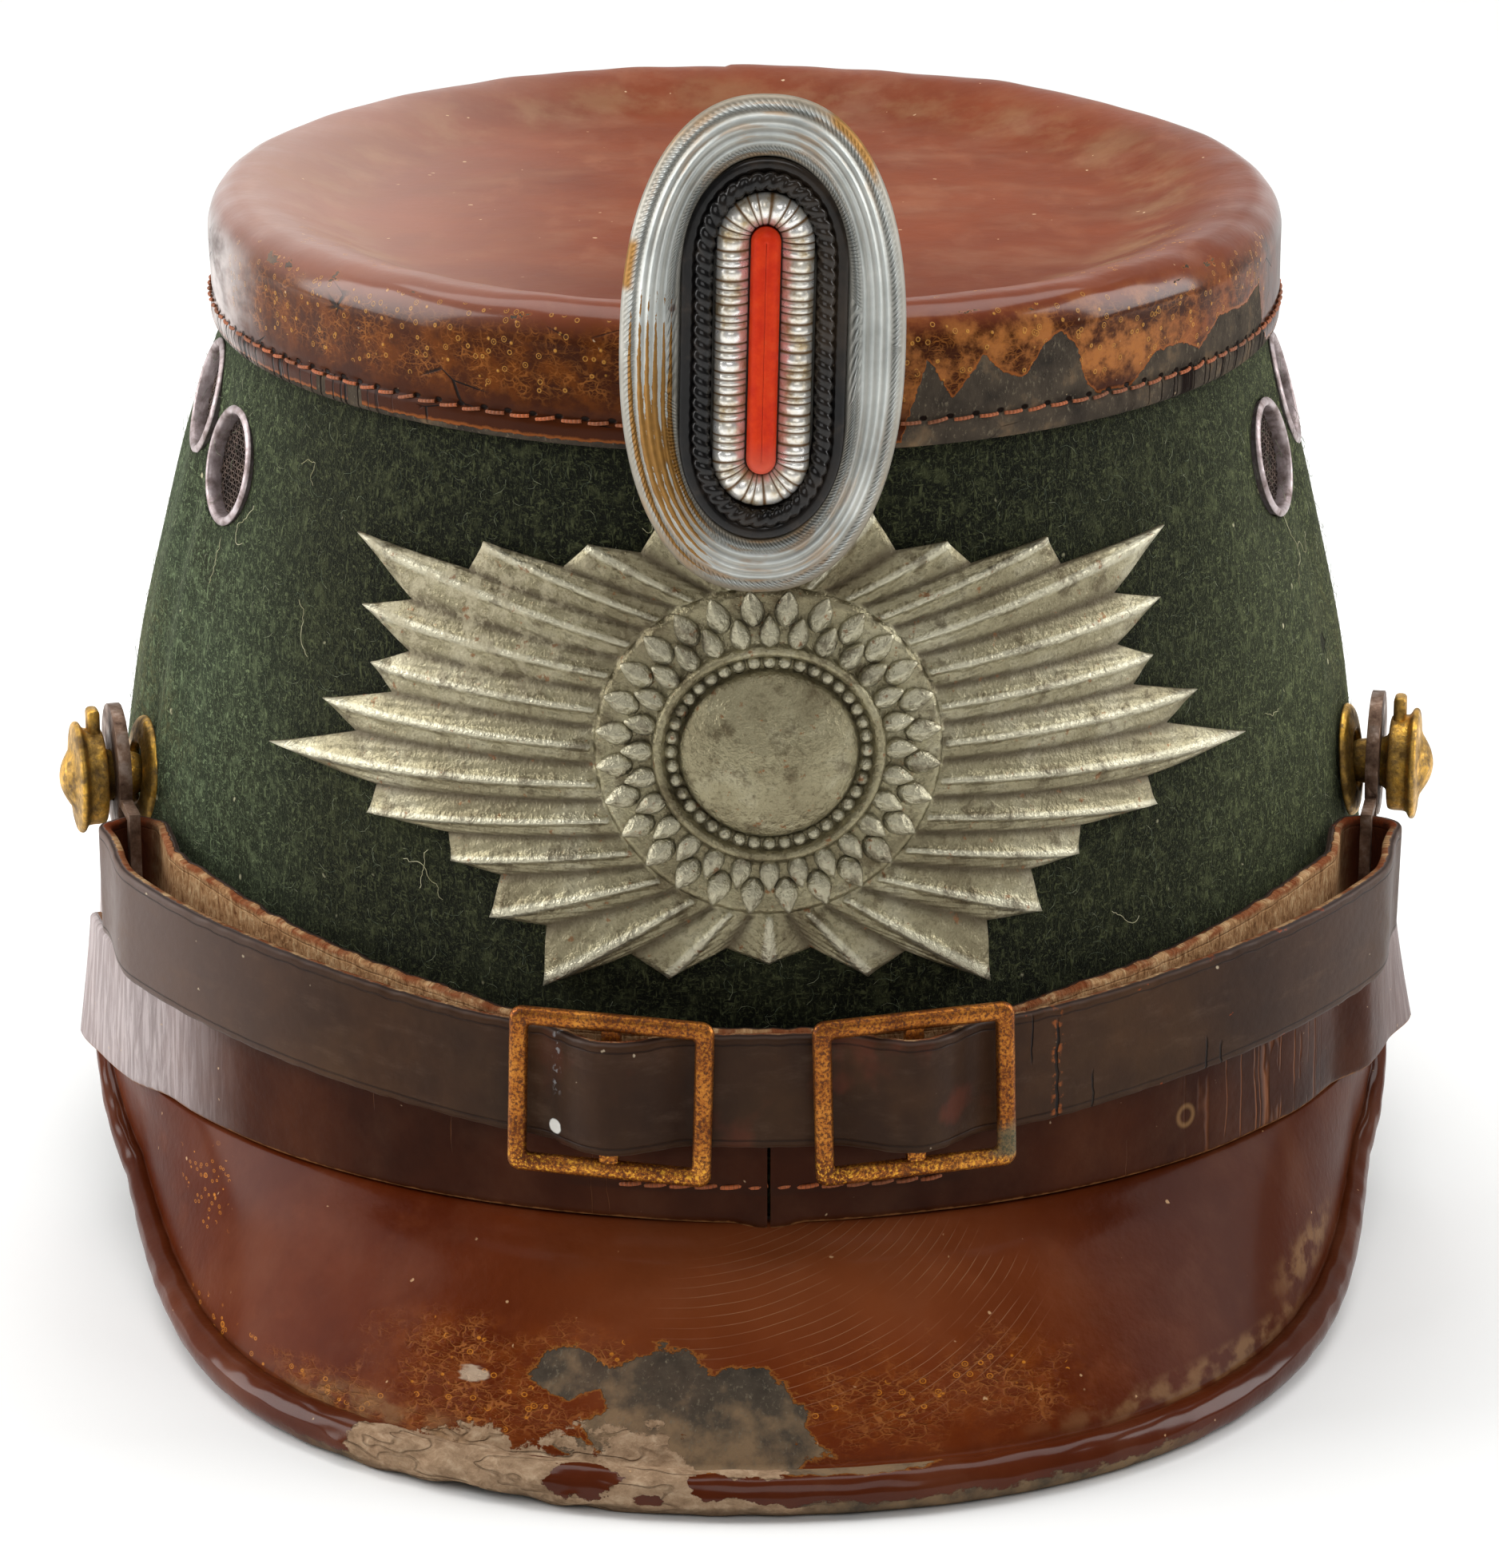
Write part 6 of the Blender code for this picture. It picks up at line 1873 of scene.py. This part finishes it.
PLATE_COLUMNS = 840
insets = np.concatenate([[0, 0.0002], np.linspace(0.0005, 0.0062, 46), [0.0065]])
edge_length = ring_length(0.003, PLATE_COLUMNS)
rows, depth_mark, rope_mark = [], [], []
for inset in insets:
    dome = 0.0006 + 0.0017 * smooth_step(0, 0.004, inset) - 0.0003 * smooth_step(0.0045, 0.0065, inset)
    roped = sum(hump(inset, middle, width / 2) for middle, width in ROPED_RIDGES)
    ridged = sum(hump(inset, middle, width / 2.4) for middle, width in PLAIN_RIDGES)
    height = dome + 0.00038 * roped + 0.00046 * ridged
    rows.append(oval_ring(inset, height if inset > 0.0003 else inset * 2, PLATE_COLUMNS))
    depth_mark.append(max(0, 1 - roped - ridged))
    rope_mark.append(roped)
rows += [oval_ring(0.0067, 0.0009, PLATE_COLUMNS), oval_ring(0.0159, 0.0009, PLATE_COLUMNS)]
rows += [oval_ring(0.0159, 0, PLATE_COLUMNS)]
depth_mark += [1, 1, 1]
rope_mark += [0, 0, 0]
plate_up = np.concatenate([insets, [0.0067, 0.0159, 0.0169, 0.018]])
plate_marks = {"hollow": np.array(depth_mark)[:, None], "roped": np.array(rope_mark)[:, None]}
pressed_mesh = skin("cockade_plate", rows, edge_length, plate_up, marks=plate_marks)
stem_low = (-0.003, -COCKADE_BACK + OVAL_Y + 0.0002, CROWN_Z + SKIRT_HEIGHT * 0.35 - 0.001)
stem_high = (0.003, CROWN[2] - CROWN[1] - 0.0002, CROWN_Z + SKIRT_HEIGHT * 0.35 + 0.001)
stem_mesh = softened_block("stem", Matrix(), (stem_low, stem_high), 0.0004)

silvers = ((0.3, (164, 168, 165)), (0.55, (198, 202, 198)), (0.75, (224, 226, 221)))
worn_silver, r, where, _, colour = finish("worn_silver", (130, 4, 0.6), *silvers)
x_place, _, z_place = where.split()
flat, hollow = r.flat(), r.mark("hollow")
around, inwards, _ = flat.split()
twist = r.sums("SINE", (around + inwards * 0.9) * (math.tau / ROPE_PITCH))
rope = r.mark("roped") * twist.span(-0.9, 0.9)
low = z_place.span(0.132, 0.108)
high = z_place.span(0.142, 0.16)
streak = flat.stretch(0.16).noise(900, 3, 0.6)
in_streak = streak.span(0.5, 0.64)
rag = (flat.stretch(0.35).noise(1300, 5, 0.7) - 0.5) * 2.4
left_low = 1 - where.stretch(150, 0, 105, move=(1.98, 0, -12.78)).far((0, 0, 0))
tops = (0.45 - hollow) * 2.8
left_low = (left_low + rag + tops).span(0.42, 0.54) * x_place.span(-0.005, -0.0085)
left_rim = x_place.span(-0.011, -0.013) * z_place.window(0.14, 0.1455, 0.0006)
left_edge = inwards.span(0.0014, 0.0006) * left_rim
right_rim = x_place.window(0.0065, 0.0115, 0.0007) * z_place.span(0.15, 0.152)
right_edge = inwards.span(0.0013, 0.0007) * right_rim
brass_bare = r.sums("ADD", left_low, left_edge, clamp=True)
brass_bare = r.sums("ADD", brass_bare, right_edge, clamp=True)
speck = where.stray(900, 0.0004)
upper_speck = speck.far((-0.0111, -0.105, 0.1382)).span(0.0006, 0.0003)
spots = r.most(upper_speck, speck.far((-0.0121, -0.105, 0.137)).span(0.0005, 0.0002))
r.set(Base_Color=r.over(
    colour,
    # painted shade in the grooves of the roped ridges
    ((r.mark("roped") - rope) * 0.5, (96, 92, 84)),
    (hollow * (0.48 + r.most(low, high) * 0.3), (124, 106, 78)),
    (in_streak * (r.most(low, high) * 0.5), (166, 124, 72)),
    (brass_bare, r.mix(where.noise(900, 3), (116, 82, 36), (166, 122, 60))),
    (spots * 0.7, (96, 62, 50)),
))
grit = where.noise(1700, 3, 0.6)
r.set(Roughness=grit * 0.16 + (brass_bare * 0.06 + 0.38), Metallic=0.42 + brass_bare * 0.3)
r.set(Normal=r.relief(rope, 0.0003, r.relief(grit * 0.5 - brass_bare * 0.5, 0.00006)))
pressed_plate = joined("cockade_plate", pressed_mesh, stem_mesh)
fit("cockade_plate_pressed", pressed_plate, "cockade_plate", "cockade_silver", worn_silver)


def wound_ring(name, section, middle, count, lift, marks=None):
    """A ring swept from (inset, height) pairs about its middle line. lift raises those off the seat."""
    line, inward, along = even_ring(middle, 0, count)
    rows = []
    for inset, height in section:
        rows.append(line + inward * (inset - middle))
        rows[-1][:, 1] -= height + (lift if height > SEAT else 0)
    length = running(np.hypot(*np.diff(section, axis=0, append=section[:1]).T))
    return skin(name, rows, along, length, marks=marks)


# The black ring: a flat painted band outside, and a twisted cord inside it.
flat_band = [
    (0.0067, SEAT), (0.0067, 0.0021), (0.0069, 0.0024), (0.0079, 0.0024), (0.0083, 0.0021), (0.0103, 0.0019),
    (0.0103, SEAT),
]
band_of_black = wound_ring("black_band", eased(flat_band, 1), 0.0085, 240, 0)
CORD_INSET, CORD_RADIUS, CORD_TWISTS = 0.0092, 0.00105, 66
cord_columns = CORD_TWISTS * 9
cord_line, cord_side, cord_along = even_ring(CORD_INSET, 0.0026, cord_columns)
rows = []
for a in np.linspace(0, math.tau, 18, endpoint=False):
    twist = math.tau * CORD_TWISTS * np.arange(cord_columns) / cord_columns
    radius = CORD_RADIUS * (0.68 + 0.36 * np.abs(np.cos((twist + 2 * a) / 2)) ** 0.8)
    spoke = cord_side * math.cos(a) + np.array([0, -0.85, 0]) * math.sin(a)
    rows.append(cord_line + radius[:, None] * spoke)
cord_mesh = skin("cord", rows, cord_along, np.linspace(0, 0.0066, 19))
blacks = ((0.35, (10, 9, 9)), (0.6, (20, 18, 18)), (0.78, (48, 41, 36)))
paint_film = {"Specular_IOR_Level": 0.12, "Coat_Weight": 0.45, "Coat_Roughness": 0.06}
cockade_black, r, where, dulled, colour = finish("cockade_black", (300, 4, 0.6), *blacks, **paint_film)
settled = r.effect(dust, Place=where, Amount=1)
colour = r.mix(settled["Film"] * 0.25, colour, (104, 84, 62))
r.set(
    Base_Color=r.mix(settled["Specks"] * 0.7, colour, (150, 130, 110)),
    Roughness=dulled * 0.2 + 0.26,
    Normal=r.relief(where.noise(1600, 3), 0.00006),
)
cord_whole = joined("cockade_cord_ring", band_of_black, cord_mesh)
fit("cockade_cord_ring_black", cord_whole, "cockade_cord_ring", "black_paint", cockade_black)

# The silver ring: wire wound round a core, in turns that lie side by side.
GIMP_TURNS = 70
GIMP = (  # section of the ring: in from the cockade's edge, height
    (0.0105, SEAT), (0.0106, 0.0022), (0.0111, 0.0031), (0.0119, 0.0036), (0.0128, 0.0035), (0.0136, 0.0029),
    (0.01415, 0.0021), (0.0141, SEAT),
)
gimp_columns = GIMP_TURNS * 12
wire_turns = np.arange(gimp_columns) / 12
wire_turns = wire_turns + 0.22 * np.sin(wire_turns * 1.9) + 0.16 * np.sin(wire_turns * 0.7)
turn_mark = np.abs(np.sin(math.pi * wire_turns)) ** 0.6
gimp_section = [GIMP[0]] + [tuple(pair) for pair in eased(GIMP[1:-1], 1, loop=False)] + [GIMP[-1]]
gimp_lift, gimp_marks = 0.00045 * turn_mark - 0.0003, {"turn": turn_mark[None, :]}
gimp_mesh = wound_ring("cockade_gimp_ring", gimp_section, 0.0124, gimp_columns, gimp_lift, gimp_marks)
silvers = ((0.34, (196, 174, 136)), (0.48, (240, 234, 220)), (0.62, (254, 252, 248)))
gimp_wire, r, where, cloud, colour = finish("gimp_wire", (420, 4, 0.65), *silvers)
wire = r.mark("turn").span(0.25, 0.72)
# Painted shade: brown in the grooves between the wire's turns.
r.set(
    Base_Color=r.mix(wire, (118, 88, 54), colour),
    Roughness=cloud.span(0.3, 0.7, 0.42, 0.26),
    Metallic=wire * 0.6,
    Normal=r.relief(where.noise(1800, 2), 0.00005),
)
fit("cockade_gimp_ring_wire", gimp_mesh, "cockade_gimp_ring", "cockade_silver", gimp_wire)

# The red bar, painted, with bevelled edges.
bar_section = [(0, SEAT), (0, 0.0029), (0.00035, 0.0035), (0.0009, 0.0038), (0.00135, 0.00382)]
bar_section += [(0.00163, 0.00382), (0.00163, SEAT)]
bar_edge = COCKADE_HALF_WIDTH - COCKADE_BAR / 2
bar_rows = [oval_ring(bar_edge + inset, forward, 160) for inset, forward in bar_section]
bar_mesh = skin("cockade_centre", bar_rows, np.linspace(0, 0.08, 161), np.linspace(0, 0.007, 8))
reds = ((0.35, (214, 44, 4)), (0.6, (228, 60, 8)), (0.8, (222, 80, 34)))
red_enamel, r, where, scuffed, colour = finish("red_enamel", (500, 4, 0.65), *reds, Specular_IOR_Level=0.2)
dusty_end = where.split()[2].span(0.124, 0.119)
r.set(
    Base_Color=r.mix(dusty_end * 0.5, colour, (206, 112, 92)),
    Roughness=scuffed * 0.3 + 0.3,
    Normal=r.relief(scuffed, 0.00008),
)
fit("cockade_centre_bar", bar_mesh, "cockade_centre", "red_paint", red_enamel)
